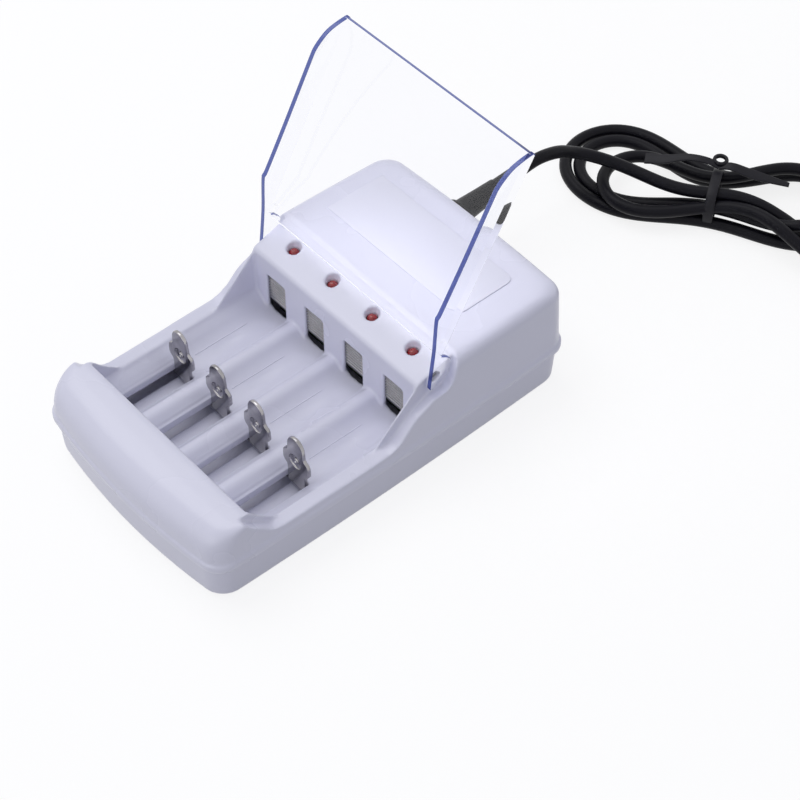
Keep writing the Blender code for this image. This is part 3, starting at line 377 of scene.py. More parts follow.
@dataclass(frozen=True)
class Finish:
    """A procedural material with a colour, a gloss and the small texture of its surface."""

    name: str
    colour: Point3
    roughness: float
    metallic: float = 0.0
    tone: float = 0.03
    tone_scale: float = 35.0
    grain: float = 0.02
    grain_scale: float = 1500.0
    sheen_spread: float = 0.05
    coat: float = 0.0
    specular: float = 0.5
    stretch: Point3 = (1.0, 1.0, 1.0)

    def nodes(self) -> tuple[bpy.types.Material, bpy.types.NodeTree, bpy.types.Node]:
        """Starts the material.

        Returns:
            The material, its node tree and its main shader.
        """
        made = bpy.data.materials.new(self.name)
        made.use_nodes = True
        tree = made.node_tree
        return made, tree, tree.nodes["Principled BSDF"]

    def make(self) -> bpy.types.Material:
        """Builds the material.

        Returns:
            The material, with a drift of tone, uneven gloss and a fine bump.
        """
        made, tree, shader = self.nodes()
        shader.inputs["Base Color"].default_value = (*self.colour, 1.0)
        shader.inputs["Metallic"].default_value = self.metallic
        shader.inputs["Coat Weight"].default_value = self.coat
        shader.inputs["Specular IOR Level"].default_value = self.specular
        shader.inputs["Coat Roughness"].default_value = 0.12
        place = tree.nodes.new("ShaderNodeTexCoord")
        mapping = tree.nodes.new("ShaderNodeMapping")
        mapping.inputs["Scale"].default_value = self.stretch
        tree.links.new(place.outputs["Object"], mapping.inputs["Vector"])
        drift = tree.nodes.new("ShaderNodeTexNoise")
        drift.inputs["Scale"].default_value = self.tone_scale
        drift.inputs["Detail"].default_value = 3.0
        tree.links.new(mapping.outputs["Vector"], drift.inputs["Vector"])
        ramp = tree.nodes.new("ShaderNodeValToRGB")
        ramp.color_ramp.interpolation = "EASE"
        ramp.color_ramp.elements[0].position = 0.2
        ramp.color_ramp.elements[1].position = 0.8
        ramp.color_ramp.elements[0].color = (*[c * (1 - self.tone) for c in self.colour], 1.0)
        ramp.color_ramp.elements[1].color = (*[min(1.0, c * (1 + self.tone)) for c in self.colour], 1.0)
        tree.links.new(drift.outputs["Fac"], ramp.inputs["Fac"])
        tree.links.new(ramp.outputs["Color"], shader.inputs["Base Color"])
        gloss = tree.nodes.new("ShaderNodeMapRange")
        gloss.inputs["To Min"].default_value = max(0.02, self.roughness - self.sheen_spread)
        gloss.inputs["To Max"].default_value = self.roughness + self.sheen_spread
        tree.links.new(drift.outputs["Fac"], gloss.inputs["Value"])
        tree.links.new(gloss.outputs["Result"], shader.inputs["Roughness"])
        grain = tree.nodes.new("ShaderNodeTexNoise")
        grain.inputs["Scale"].default_value = self.grain_scale
        grain.inputs["Detail"].default_value = 2.0
        tree.links.new(mapping.outputs["Vector"], grain.inputs["Vector"])
        bump = tree.nodes.new("ShaderNodeBump")
        bump.inputs["Strength"].default_value = self.grain
        bump.inputs["Distance"].default_value = 0.0002
        tree.links.new(grain.outputs["Fac"], bump.inputs["Height"])
        tree.links.new(bump.outputs["Normal"], shader.inputs["Normal"])
        self.finish_nodes(tree, shader)
        return made

    def finish_nodes(self, tree: bpy.types.NodeTree, shader: bpy.types.Node) -> None:
        """Adds what a special finish needs; a plain one needs nothing more."""


@dataclass(frozen=True)
class TintedLens(Finish):
    """Coloured see-through plastic, as on a small lamp."""

    clearness: float = 0.3

    def finish_nodes(self, tree: bpy.types.NodeTree, shader: bpy.types.Node) -> None:
        """Lets light through the colour."""
        shader.inputs["Transmission Weight"].default_value = self.clearness
        shader.inputs["IOR"].default_value = 1.5


@dataclass(frozen=True)
class ClearSheet(Finish):
    """Clear moulded plastic, thin enough to show what is behind it almost unbent."""

    clearness: float = 1.0
    ior: float = 1.06
    shadow: Point3 = (0.94, 0.945, 0.975)

    def make(self) -> bpy.types.Material:
        """Builds the clear plastic.

        Returns:
            The material, which lets most light straight through in shadows.
        """
        made, tree, shader = self.nodes()
        shader.inputs["Base Color"].default_value = (*self.colour, 1.0)
        shader.inputs["Transmission Weight"].default_value = self.clearness
        shader.inputs["IOR"].default_value = self.ior
        shader.inputs["Coat Weight"].default_value = 0.6
        shader.inputs["Coat IOR"].default_value = 1.5
        shader.inputs["Coat Roughness"].default_value = 0.02
        place = tree.nodes.new("ShaderNodeTexCoord")
        drift = tree.nodes.new("ShaderNodeTexNoise")
        drift.inputs["Scale"].default_value = self.tone_scale
        gloss = tree.nodes.new("ShaderNodeMapRange")
        gloss.inputs["To Min"].default_value = self.roughness * 0.6
        gloss.inputs["To Max"].default_value = self.roughness * 1.4
        tree.links.new(place.outputs["Object"], drift.inputs["Vector"])
        tree.links.new(drift.outputs["Fac"], gloss.inputs["Value"])
        tree.links.new(gloss.outputs["Result"], shader.inputs["Roughness"])
        straight = tree.nodes.new("ShaderNodeBsdfTransparent")
        straight.inputs["Color"].default_value = (*self.shadow, 1.0)
        rays = tree.nodes.new("ShaderNodeLightPath")
        mix = tree.nodes.new("ShaderNodeMixShader")
        tree.links.new(rays.outputs["Is Shadow Ray"], mix.inputs["Fac"])
        tree.links.new(shader.outputs["BSDF"], mix.inputs[1])
        tree.links.new(straight.outputs["BSDF"], mix.inputs[2])
        tree.links.new(mix.outputs["Shader"], tree.nodes["Material Output"].inputs["Surface"])
        return made


class Finishes:
    """Every finish of the charger, each made once."""

    TABLE = (
        Finish("white_case", (0.77, 0.77, 0.895), 0.27, tone=0.008, grain=0.03, grain_scale=2600.0),
        Finish("white_base", (0.745, 0.745, 0.865), 0.33, tone=0.008, grain=0.045, grain_scale=2400.0),
        ClearSheet("clear_lid", (0.975, 0.978, 1.0), 0.02),
        ClearSheet("clear_rim", (0.045, 0.068, 0.33), 0.16, clearness=0.4, shadow=(0.55, 0.6, 0.9)),
        # The nickel's colour is darkened to paint the dark reflections of its surroundings on the sliding contacts; its
        # tone also drifts at random.
        Finish("nickel_with_painted_dark_reflection", (0.36, 0.35, 0.365), 0.15, metallic=1.0, tone=0.22, tone_scale=190.0,
               grain=0.05, grain_scale=900.0, sheen_spread=0.06),
        # The ribbed plates' metal is darkened as well, to paint the dark reflections of their surroundings.
        Finish("ribbed_plate_painted_dark_reflection", (0.27, 0.265, 0.28), 0.22, metallic=1.0, tone=0.1, tone_scale=200.0,
               grain=0.04, grain_scale=900.0),
        Finish("spring_wire", (0.48, 0.48, 0.49), 0.3, metallic=1.0, tone=0.05),
        Finish("screw_steel", (0.42, 0.41, 0.40), 0.33, metallic=1.0, tone=0.08, grain=0.08),
        TintedLens("red_lens", (0.40, 0.005, 0.012), 0.1, coat=0.5, grain=0.0),
        # The board's green is darkened to paint the shade inside the case, where the board shows below the ribbed
        # contacts.
        Finish("green_board_painted_shade", (0.010, 0.050, 0.020), 0.42, tone=0.25, tone_scale=180.0, coat=0.2),
        Finish("black_sleeve", (0.02, 0.02, 0.03), 0.35, tone=0.15),
        Finish("iron_core", (0.11, 0.10, 0.09), 0.55, tone=0.2, tone_scale=400.0, grain=0.2,
               grain_scale=1200.0, stretch=(1.0, 1.0, 6.0)),
        Finish("label_film", (0.79, 0.79, 0.905), 0.3, tone=0.006, grain=0.012),
        Finish("black_vinyl", (0.0042, 0.0040, 0.0072), 0.4, tone=0.2, tone_scale=90.0, grain=0.12,
               grain_scale=1100.0, specular=0.13),
        Finish("tie_vinyl", (0.0045, 0.0042, 0.0080), 0.46, tone=0.2, grain=0.15, specular=0.25),
        Finish("pin_plate", (0.72, 0.68, 0.55), 0.25, metallic=1.0, tone=0.05, tone_scale=150.0),
    )

    def __init__(self) -> None:
        """Builds the materials."""
        self.made = {finish.name: finish.make() for finish in self.TABLE}

    def dress(self, thing: Thing, name: str) -> None:
        """Gives an object one finish in place of what it had."""
        thing.data.materials.clear()
        thing.data.materials.append(self.made[name])

    def recoat(self, node: str, name: str) -> None:
        """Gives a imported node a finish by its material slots."""
        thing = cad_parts[node]
        if not thing.material_slots:
            thing.data.materials.append(self.made[name])
        for holder in thing.material_slots:
            holder.material = self.made[name]


@dataclass(frozen=True)
class CaseSizes:
    """The case's sizes, as its solids have them."""

    half_width: float = 39.75 * MM
    half_length: float = 65.5 * MM
    height: float = 37.2 * MM
    side_bow: float = 0.95 * MM
    front_bow: float = 3.4 * MM
    rear_bow: float = 1.2 * MM
    corner: float = 5.2 * MM
    wall: float = 1.9 * MM
    seam_z: float = 12.8 * MM
    seam_gap: float = 0.3 * MM
    lip_top: float = 15.5 * MM
    lip_proud: float = 0.55 * MM
    draft: float = 0.035
    bumper_height: float = 26.4 * MM
    bumper_bulge: float = 13.0 * MM
    bumper_fullness: float = 2.6
    bumper_crown: float = 0.25 * MM
    bumper_depth: float = 17.1 * MM
    deck_side: float = 3.35 * MM
    deck_rear: float = 4.9 * MM
    deck_drop: float = 3.9 * MM
    base_round: float = 2.2 * MM
    base_step: float = 1.0 * MM
    floor: float = 2.0 * MM
    rim_z: float = 17.5 * MM
    bay_front: float = -48.4 * MM
    window_y: float = 9.4 * MM
    cavity_y: float = 10.6 * MM
    window_top: float = 26.2 * MM
    ledge_z: float = 31.7 * MM
    ledge_rear: float = 22.6 * MM
    ledge_slope: float = math.tan(math.radians(18.0))
    pivot_y: float = 16.0 * MM
    pivot_z: float = 32.5 * MM
    arm_reach: float = 4.8 * MM
    lamp_y: float = 16.8 * MM
    lamp_hole: float = 2.2 * MM
    contact_y: float = -24.15 * MM
    trough_z: float = 12.15 * MM
    trough_radius: float = 8.3 * MM
    small_radius: float = 5.25 * MM
    groove_depth: float = 0.5 * MM
    tub_bottom: float = 10.4 * MM
    pitch: float = 17.0 * MM
    bay_half: float = 34.3 * MM
    cheek_out: float = 35.3 * MM

    def bay_x(self, n: int) -> float:
        """The middle of a bay, counted from 1 at the left."""
        return (n - (CELLS + 1) / 2) * self.pitch


@dataclass
class CasePlan:
    """Outlines of the case in plan and in side view."""

    sizes: CaseSizes
    corner_steps: int = 9
    side_steps: int = 10
    end_steps: int = 7

    def outline(self, z: float, side: float, front: float, rear: float, corner: float | None = None,
                front_bow: float | None = None) -> list[Point3]:
        """The bowed plan outline at a height.

        Args:
            z: The height.
            side: How far the sides are drawn in.
            front: How far the front is drawn in.
            rear: How far the rear is drawn in.
            corner: The radius of the corners.
            front_bow: How far the front bows out.

        Returns:
            The loop of points.
        """
        s = self.sizes
        corner = s.corner if corner is None else corner
        front_bow = s.front_bow if front_bow is None else front_bow
        half = s.half_width - side
        low = -s.half_length + front
        high = s.half_length - rear

        def side_x(y: float) -> float:
            """The side's bowed place."""
            return half - s.side_bow * (y / s.half_length) ** 2

        def front_y(x: float) -> float:
            """The front's bowed place."""
            return low + front_bow * (x / half) ** 2

        def rear_y(x: float) -> float:
            """The rear's bowed place."""
            return high - s.rear_bow * (x / half) ** 2

        def bend(a: Vector, b: Vector, c: Vector) -> list[Vector]:
            """A round corner from a to c, pulled towards b."""
            found = []
            for k in range(self.corner_steps + 1):
                t = k / self.corner_steps
                u = 1 - t
                near, far = a.lerp(b, 0.56), c.lerp(b, 0.56)
                found.append(u**3 * a + 3 * u * u * t * near + 3 * u * t * t * far + t**3 * c)
            return found

        front_corner = Vector((side_x(low), front_y(half)))
        rear_corner = Vector((side_x(high), rear_y(half)))
        y_low = front_corner.y + corner
        y_high = rear_corner.y - corner
        x_front = front_corner.x - corner
        x_rear = rear_corner.x - corner
        right = [Vector((x_front * k / self.end_steps, front_y(x_front * k / self.end_steps)))
                 for k in range(self.end_steps)]
        right += bend(Vector((x_front, front_y(x_front))), front_corner, Vector((side_x(y_low), y_low)))
        for k in range(1, self.side_steps):
            y = y_low + (y_high - y_low) * k / self.side_steps
            right.append(Vector((side_x(y), y)))
        right += bend(Vector((side_x(y_high), y_high)), rear_corner, Vector((x_rear, rear_y(x_rear))))
        right += [Vector((x_rear * k / self.end_steps, rear_y(x_rear * k / self.end_steps)))
                  for k in range(self.end_steps - 1, -1, -1)]
        left = [Vector((-p.x, p.y)) for p in right[-2:0:-1]]
        return [(p.x, p.y, z) for p in right + left]

    def upper_levels(self, inset: float, bulge: float, steps: int) -> list[list[Point3]]:
        """The upper shell's outlines from the lip to the deck, all drawn in by an inset.

        Args:
            inset: How far every outline is drawn in.
            bulge: How far the bumper's face leans back at its crest.
            steps: How many outlines the bumper and the deck's edge each take.

        Returns:
            The loops, from low to high.
        """
        s = self.sizes
        top = s.height - inset

        def draft(z: float) -> float:
            """How far the sides lean in at a height."""
            return s.lip_proud + s.draft * (z - s.lip_top)

        levels = []
        base = s.lip_top + 0.15 * MM
        crest = s.bumper_height + s.bumper_crown - inset
        rise = crest - 0.1 * MM - base
        power = 2 / s.bumper_fullness
        for k in range(steps):
            turn = math.radians(82.0 * k / (steps - 1))
            z = base + rise * math.sin(turn) ** power
            share = 1 - math.cos(turn) ** power
            front = s.lip_proud + bulge * share
            levels.append((z, draft(z), front, draft(z), s.corner, s.front_bow * (1 - share)))
        levels.append((crest, draft(crest), s.bumper_depth, draft(crest), s.corner, 0.0))
        start_z = top - (s.deck_drop - inset * 0.5)
        for k in range(steps):
            turn = math.radians(90.0 * k / (steps - 1))
            z = start_z + (top - start_z) * math.sin(turn)
            ease = 1 - math.cos(turn)
            side = draft(start_z) + s.deck_side * ease
            rear = draft(start_z) + s.deck_rear * ease
            levels.append((z, side, s.bumper_depth + s.deck_side * ease, rear, s.corner + 1.2 * MM * ease, 0.0))
        return [self.outline(z, a + inset, f + inset, r + inset, max(c - inset, 2 * MM), b)
                for z, a, f, r, c, b in levels]

    def rim_profile(self, drop: float = 0.0) -> list[Point2]:
        """Side view of all that is open above the bays, over the inner cheeks and the ledge."""
        s = self.sizes
        h = s.bumper_height
        foot = s.window_y - (s.ledge_z - s.rim_z)
        run = 9.6 * MM
        points = [(-FAR, h + 1.0 * MM), (s.bay_front - 5.0 * MM, h + 2 * s.bumper_crown), (s.bay_front, h)]
        for k in range(1, 13):
            t = k / 12
            points.append((s.bay_front + run * t, h - (h - s.rim_z) * (1 - (1 - t) ** 1.25)))
        for k in range(6):
            t = k / 5
            points.append((foot + (t - 0.6) * 3.4 * MM, s.rim_z + 1.85 * MM * t * t))
        points.append((s.window_y - 0.45 * MM, s.ledge_z - 0.45 * MM))
        centre = (s.window_y + 1.75 * MM, s.ledge_z - 0.45 * MM)
        for k in range(1, 7):
            turn = math.radians(170.0 - 62.0 * k / 6)
            points.append((centre[0] + 2.0 * MM * math.cos(turn), centre[1] + 2.0 * MM * math.sin(turn)))
        base_y, base_z = points[-1]
        groove = s.ledge_rear - 1.0 * MM
        points.append((groove, base_z + (groove - base_y) * s.ledge_slope))
        top = points[-1][1]
        points += [(groove + 0.35 * MM, top - 0.18 * MM), (groove + 0.7 * MM, top - 0.12 * MM)]
        points += [(groove + 1.05 * MM, top + 0.2 * MM), (s.ledge_rear + 0.75 * MM, s.height - 0.12 * MM)]
        points.append((s.ledge_rear + 1.0 * MM, s.height + 0.04 * MM))
        points += [(s.ledge_rear + 2.0 * MM, s.height + 3.0 * MM), (s.ledge_rear + 2.0 * MM, FAR), (-FAR, FAR)]
        return [(y, z - drop) for y, z in points]

    def seat_profile(self, drop: float = 0.0) -> list[Point2]:
        """Side view of the low band beyond each cheek, with the scoop behind the bumper and the arm's seat."""
        s = self.sizes
        rim = s.rim_z + 0.05 * MM
        h = s.bumper_height
        scoop = [(-3.9, 0.95), (-3.3, 0.05), (-2.5, -1.05), (-0.7, -3.0), (1.6, -4.8), (3.9, -6.8),
                 (6.0, -8.35)]
        bowl = [(s.bay_front + a * MM, h + b * MM, 0.0) for a, b in scoop]
        bowl += [(s.bay_front + 8.2 * MM, rim, 0.0), (s.bay_front + 10.5 * MM, rim, 0.0)]
        points = [(-FAR, h + 1.0 * MM), (s.bay_front - 4.3 * MM, h + 1.0 * MM)]
        points += [(p.x, p.y) for p in smooth_path(bowl, 0.6 * MM)]
        y = s.window_y
        knots = [(y - 16.0 * MM, rim), (y - 14.2 * MM, rim), (y - 11.4 * MM, rim + 0.25 * MM),
                 (y - 8.9 * MM, rim + 1.45 * MM), (y - 6.4 * MM, rim + 3.7 * MM), (y - 4.2 * MM, rim + 5.9 * MM),
                 (y - 2.2 * MM, rim + 7.3 * MM), (y + 1.0 * MM, rim + 8.7 * MM), (y + 3.6 * MM, rim + 10.0 * MM)]
        points += [(p.x, p.y) for p in smooth_path([(a, b, 0.0) for a, b in knots], 1.0 * MM)]
        for angle in range(-95, 1, 12):
            turn = math.radians(angle)
            points.append((s.pivot_y + s.arm_reach * math.cos(turn), s.pivot_z + s.arm_reach * math.sin(turn)))
        edge = s.pivot_y + s.arm_reach + 1.8 * MM
        points += [(edge, s.height + 1 * MM), (edge, FAR), (-FAR, FAR)]
        return [(a, b - drop) for a, b in points]

    def bay_profile(self) -> list[Point2]:
        """Front view of the bays: a row of troughs with soft ridges, open at the top."""
        s = self.sizes
        axis_z = s.trough_z + s.trough_radius
        reach = s.pitch / 2 - 2.3 * MM
        limit = math.asin(reach / s.trough_radius)
        half = s.bay_half
        points = [(-half - 0.3 * MM, FAR), (-half - 0.3 * MM, s.rim_z + 0.02 * MM),
                  (-half, s.rim_z - 0.35 * MM)]
        points.append((-half + 0.45 * MM, s.rim_z - 0.9 * MM))
        for n in BAYS:
            x = s.bay_x(n)
            for k in range(25):
                turn = -limit + 2 * limit * k / 24
                points.append((x + s.trough_radius * math.sin(turn), axis_z - s.trough_radius * math.cos(turn)))
            if n < CELLS:
                top = axis_z - s.trough_radius * math.cos(limit)
                for k in range(1, 8):
                    t = k / 8
                    lift = 1.05 * MM * math.sin(math.pi * t) ** 0.8
                    points.append((x + reach + (s.pitch - 2 * reach) * t, top + lift))
        points += [(half - 0.45 * MM, s.rim_z - 0.9 * MM), (half, s.rim_z - 0.35 * MM)]
        points += [(half + 0.3 * MM, s.rim_z + 0.02 * MM), (half + 0.3 * MM, FAR)]
        return points


@dataclass
class Case:
    """The two white mouldings, the case screws and the label."""

    finishes: Finishes
    sizes: CaseSizes = field(default_factory=CaseSizes)
    voxel: float = 0.42 * MM
    screw_radius: float = 1.4 * MM
    boss_radius: float = 3.3 * MM
    label_low: Point2 = (-30.0 * MM, 33.0 * MM)
    label_high: Point2 = (26.2 * MM, 53.7 * MM)
    label_corner: float = 2.6 * MM

    def screw_places(self) -> list[Point2]:
        """Plan places of the four case screws."""
        s = self.sizes
        across = s.half_width - 10.2 * MM
        return [(x, y) for y in (-s.half_length + 10.7 * MM, s.half_length - 9.6 * MM)
                for x in (-across, across)]

    def hollow(self) -> Thing:
        """The room inside the upper shell.

        Returns:
            The cutter, with the tub, the rims and the cheeks left out of it.
        """
        s = self.sizes
        plan = CasePlan(s, corner_steps=4, side_steps=4, end_steps=3)
        wall = s.wall
        rings = [plan.outline(z, wall, wall, wall, s.corner - wall)
                 for z in (s.seam_z - 3 * MM, s.lip_top - 0.3 * MM)]
        room = Bench.skin("room", rings + plan.upper_levels(wall, s.bumper_bulge - 1.5 * MM, 6))
        Bench.carve(room, Bench.slab("keep_rims", plan.rim_profile(wall + 0.3 * MM), Axis.X, -FAR, FAR))
        tub = s.cheek_out + 0.4 * MM
        low = (-tub, s.bay_front - wall, s.tub_bottom)
        Bench.carve(room, Bench.block("keep_tub", low, (tub, s.cavity_y, FAR)))
        low = (-FAR, s.bay_front - wall - 0.2 * MM, s.seam_z + 2.1 * MM)
        Bench.carve(room, Bench.block("keep_bumper", low, (FAR, s.bay_front + 10.0 * MM, FAR)))
        for side in (-1, 1):
            a, b = sorted((side * (s.cheek_out - wall), side * FAR))
            Bench.carve(room, Bench.slab("keep_seat", plan.seat_profile(wall), Axis.X, a, b))
            low = (a, s.cavity_y - 1 * MM, s.rim_z + 6.0 * MM)
            Bench.carve(room, Bench.block("keep_cheek", low, (b, s.ledge_rear + 2.6 * MM, FAR)))
        return room

    def upper_shell(self) -> Thing:
        """Models the moulding with the bays, the bumper, the lamp ledge and the deck.

        Returns:
            The upper shell.
        """
        s = self.sizes
        plan = CasePlan(s)
        lip = [plan.outline(z, inset, inset, inset) for z, inset in (
            (s.seam_z, 0.3 * MM), (s.seam_z + 0.35 * MM, 0), (s.lip_top - 0.3 * MM, 0), (s.lip_top, 0.3 * MM))]
        shell = Bench.skin("top_moulding", lip + plan.upper_levels(0.0, s.bumper_bulge, 16))
        Bench.carve(shell, self.hollow())
        tub = s.cheek_out + 0.4 * MM
        low = (-tub, s.bay_front - s.wall, s.tub_bottom)
        Bench.carve(shell, Bench.block("tub", low, (tub, s.cavity_y, s.seam_z + 1.5 * MM)), Join.ADD)
        Bench.carve(shell, Bench.slab("open_sky", plan.rim_profile(), Axis.X, -FAR, FAR))
        for side in (-1, 1):
            a, b = sorted((side * s.cheek_out, side * FAR / 2))
            Bench.carve(shell, Bench.slab("arm_seat", plan.seat_profile(), Axis.X, a, b))
            hole = (side * (s.cheek_out - s.wall / 2), s.pivot_y, s.pivot_z)
            Bench.carve(shell, Bench.drum("pin_hole", hole, 1.62 * MM, 2 * s.wall, Axis.X, 32))
        Bench.carve(shell, Bench.slab("bays", plan.bay_profile(), Axis.Y, s.bay_front, s.window_y))
        self.round_bumper(shell, plan)
        for n in BAYS:
            self.cut_bay(shell, n)
        for x, y in self.screw_places():
            roof = s.bumper_height - s.wall / 2 - 0.7 * MM if y < 0 else s.height - s.wall / 2
            low_z = s.seam_z + 0.4 * MM
            boss = Bench.drum("boss", (x, y, (low_z + roof) / 2), self.boss_radius, roof - low_z, sides=32)
            Bench.carve(shell, boss, Join.ADD)
            pilot = Bench.drum("pilot", (x, y, low_z), self.screw_radius + 0.3 * MM, 14.0 * MM, sides=24)
            Bench.carve(shell, pilot)
        hole = (-16.5 * MM, s.half_length - 1.5 * MM, 19.8 * MM)
        Bench.carve(shell, Bench.drum("cord_hole", hole, 3.9 * MM, 12 * MM, Axis.Y, 40))
        Bench.soften(shell, self.voxel, SHELL_FACES)
        self.lay_lines(shell)
        Bench.smooth(shell, 50.0)
        return shell

    def round_bumper(self, shell: Thing, plan: CasePlan) -> None:
        """Rounds the bumper's inner edge and its two ends."""
        s = self.sizes
        radius = 0.9 * MM
        edge_y, edge_z = s.bay_front, s.bumper_height + 0.03 * MM
        points = [(edge_y - radius, edge_z + 2 * MM)]
        for angle in range(90, -1, -15):
            turn = math.radians(angle)
            y = edge_y - radius * (1 - math.cos(turn))
            points.append((y, edge_z - radius * (1 - math.sin(turn))))
        points += [(edge_y + 1 * MM, edge_z - radius), (edge_y + 1 * MM, edge_z + 2 * MM)]
        Bench.carve(shell, Bench.slab("inner_edge", points, Axis.X, -s.bay_half, s.bay_half))
        radius = 1.3 * MM
        crest = s.bumper_height + s.bumper_crown
        rings = [plan.outline(crest - 2 * radius, s.lip_proud + s.draft * (crest - s.lip_top), 0.0, 0.0)]
        for angle in range(0, 91, 15):
            turn = math.radians(angle)
            z = crest - radius + radius * math.sin(turn)
            side = s.lip_proud + s.draft * (z - s.lip_top) + radius * (1 - math.cos(turn))
            rings.append(plan.outline(z, side, 0.0, 0.0))
        low = (-FAR, -s.half_length - 5 * MM, crest - radius)
        crown = Bench.block("crown", low, (FAR, s.bay_front - 1.6 * MM, crest + 5 * MM))
        Bench.carve(crown, Bench.skin("keep_crown", rings))
        Bench.carve(shell, crown)

    def cut_bay(self, shell: Thing, n: int) -> None:
        """Cuts one bay's small cell groove, contact slot, window and lamp hole."""
        s = self.sizes
        x = s.bay_x(n)
        low_y = s.contact_y + 5.6 * MM
        high_y = s.window_y - 8.4 * MM
        half = (high_y - low_y) / 2
        middle = (x, (low_y + high_y) / 2, s.trough_z - s.groove_depth + s.small_radius)
        ends = ((0.68, 0.0), (0.56, 2.0), (0.36, 5.0), (0.22, 8.6))
        profile = [(s.small_radius - a * MM, -half + b * MM) for a, b in ends]
        profile += [(radius, -along) for radius, along in reversed(profile)]
        Bench.carve(shell, Bench.turned("groove", profile, middle, Axis.Y, 96))
        low_y, high_y = s.contact_y - 22.85 * MM, s.contact_y + 0.45 * MM
        points = [(x + a * MM, b * MM) for a, b in (
            (-4.0, 9.4), (4.0, 9.4), (4.0, 12.95), (4.3, 13.5), (4.3, 19.4), (-4.9, 19.4), (-4.9, 13.15),
            (-4.0, 13.05))]
        Bench.carve(shell, Bench.slab("slot", points, Axis.Y, low_y, high_y))
        rise = s.trough_z + s.trough_radius + 0.12 * MM
        points = [(x + 4.0 * MM, s.window_top), (x - 4.0 * MM, s.window_top)]
        for k in range(17):
            a = (-4.0 + 0.5 * k) * MM
            points.append((x + a, rise - math.sqrt(s.trough_radius**2 - a * a)))
        Bench.carve(shell, Bench.slab("window", points, Axis.Y, s.window_y - 1 * MM, s.cavity_y + 0.5 * MM))
        Bench.carve(shell, Bench.drum("lamp_hole", (x, s.lamp_y, s.ledge_z), s.lamp_hole, 14 * MM))
        seat_z = s.ledge_z + (s.lamp_y - s.window_y) * s.ledge_slope + 0.2 * MM
        seat = (x, s.lamp_y, seat_z - 1.3 * MM)
        Bench.carve(shell, Bench.drum("lamp_seat", seat, s.lamp_hole + 1.0 * MM, 1.4 * MM), Join.ADD)
        Bench.carve(shell, Bench.drum("lamp_way", seat, 1.75 * MM, 6.0 * MM))

    def lay_lines(self, shell: Thing) -> None:
        """Lays the fine raised line beside the small cell's groove in every bay."""
        s = self.sizes
        lines = None
        for n in BAYS:
            middle = (s.bay_x(n) - 3.05 * MM, -8.8 * MM, 12.72 * MM)
            line = Bench.drum("line", middle, 0.17 * MM, 18.6 * MM, Axis.Y, 12)
            if lines is None:
                lines = line
            else:
                Bench.carve(lines, line, Join.ADD)
        Bench.carve(shell, lines, Join.ADD)

    def lower_shell(self) -> Thing:
        """Models the base with its floor, rails, posts and screw wells.

        Returns:
            The lower shell.
        """
        s = self.sizes
        plan = CasePlan(s)
        top = s.seam_z - s.seam_gap
        rings = []
        for k in range(9):
            turn = math.radians(90.0 - 90.0 * k / 8)
            inset = s.base_step + 0.45 * MM + s.base_round * (1 - math.cos(turn))
            rings.append(plan.outline(s.base_round * (1 - math.sin(turn)), inset, inset, inset))
        rings.append(plan.outline(top, s.base_step, s.base_step, s.base_step))
        lip = s.wall + 0.3 * MM
        rings += [plan.outline(top + 0.001 * MM, lip, lip, lip), plan.outline(top + 1.8 * MM, lip, lip, lip)]
        shell = Bench.skin("base_moulding", rings)
        inner = lip + 1.0 * MM
        rings = [plan.outline(z, inner + d, inner + d, inner + d) for z, d in (
            (s.floor, 2.4 * MM), (s.floor + 0.7 * MM, 0.9 * MM), (s.floor + 2.4 * MM, 0.0), (top + 5 * MM, 0.0))]
        Bench.carve(shell, Bench.skin("base_room", rings))
        sunk = s.floor - 0.5 * MM
        for n in BAYS:
            x = s.bay_x(n)
            low = (x - 3.7 * MM, s.bay_front + 0.4 * MM, sunk)
            high = (x + 2.6 * MM, s.contact_y + 4.0 * MM, 7.6 * MM)
            Bench.carve(shell, Bench.block("rail", low, high), Join.ADD)
            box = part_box(f"contact_spring_{n}")
            high_z = (box[0][2] + box[1][2]) / 2 + 1.6 * MM
            post = (x + 4.0 * MM, box[1][1] + 1.8 * MM, (sunk + high_z) / 2)
            Bench.carve(shell, Bench.drum("post", post, 1.5 * MM, high_z - sunk, sides=24), Join.ADD)
        for x, y in self.screw_places():
            high_z = s.seam_z + 0.1 * MM
            seat = s.seam_z - 4.6 * MM
            middle = (x, y, (sunk + high_z) / 2)
            boss = Bench.drum("boss", middle, self.boss_radius + 0.9 * MM, high_z - sunk, sides=32)
            Bench.carve(shell, boss, Join.ADD)
            well = Bench.drum("well", (x, y, seat / 2 - 1 * MM), 3.2 * MM, seat + 2 * MM, sides=40)
            Bench.carve(shell, well)
            way = Bench.drum("way", (x, y, s.seam_z), self.screw_radius + 0.3 * MM, 12 * MM, sides=24)
            Bench.carve(shell, way)
        Bench.soften(shell, self.voxel * 1.1, BASE_FACES)
        return shell

    def label(self) -> Thing:
        """Models the thin blank label with its round corners at the right.

        Returns:
            The label.
        """
        (x0, y0), (x1, y1) = self.label_low, self.label_high
        radius = self.label_corner
        points = [(x0, y0)]
        for cx, cy, first in ((x1 - radius, y0 + radius, -90), (x1 - radius, y1 - radius, 0)):
            for k in range(10):
                turn = math.radians(first + 10.0 * k)
                points.append((cx + radius * math.cos(turn), cy + radius * math.sin(turn)))
        points.append((x0, y1))
        low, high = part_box("label")
        film = Bench.slab("blank_label", points, Axis.Z, low[2], high[2])
        Bench.round_edges(film, 0.08 * MM)
        return film

    def build(self) -> None:
        """Builds and dresses the case."""
        for piece, node, finish in ((self.upper_shell(), "upper_shell", "white_case"),
                                    (self.lower_shell(), "lower_shell", "white_base"),
                                    (self.label(), "label", "label_film")):
            self.finishes.dress(piece, finish)
            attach(piece, "case")
            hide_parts(node)
            log.info("%s: %d faces", piece.name, len(piece.data.polygons))
        for n in range(1, 5):
            self.finishes.recoat(f"case_screw_{n}", "screw_steel")


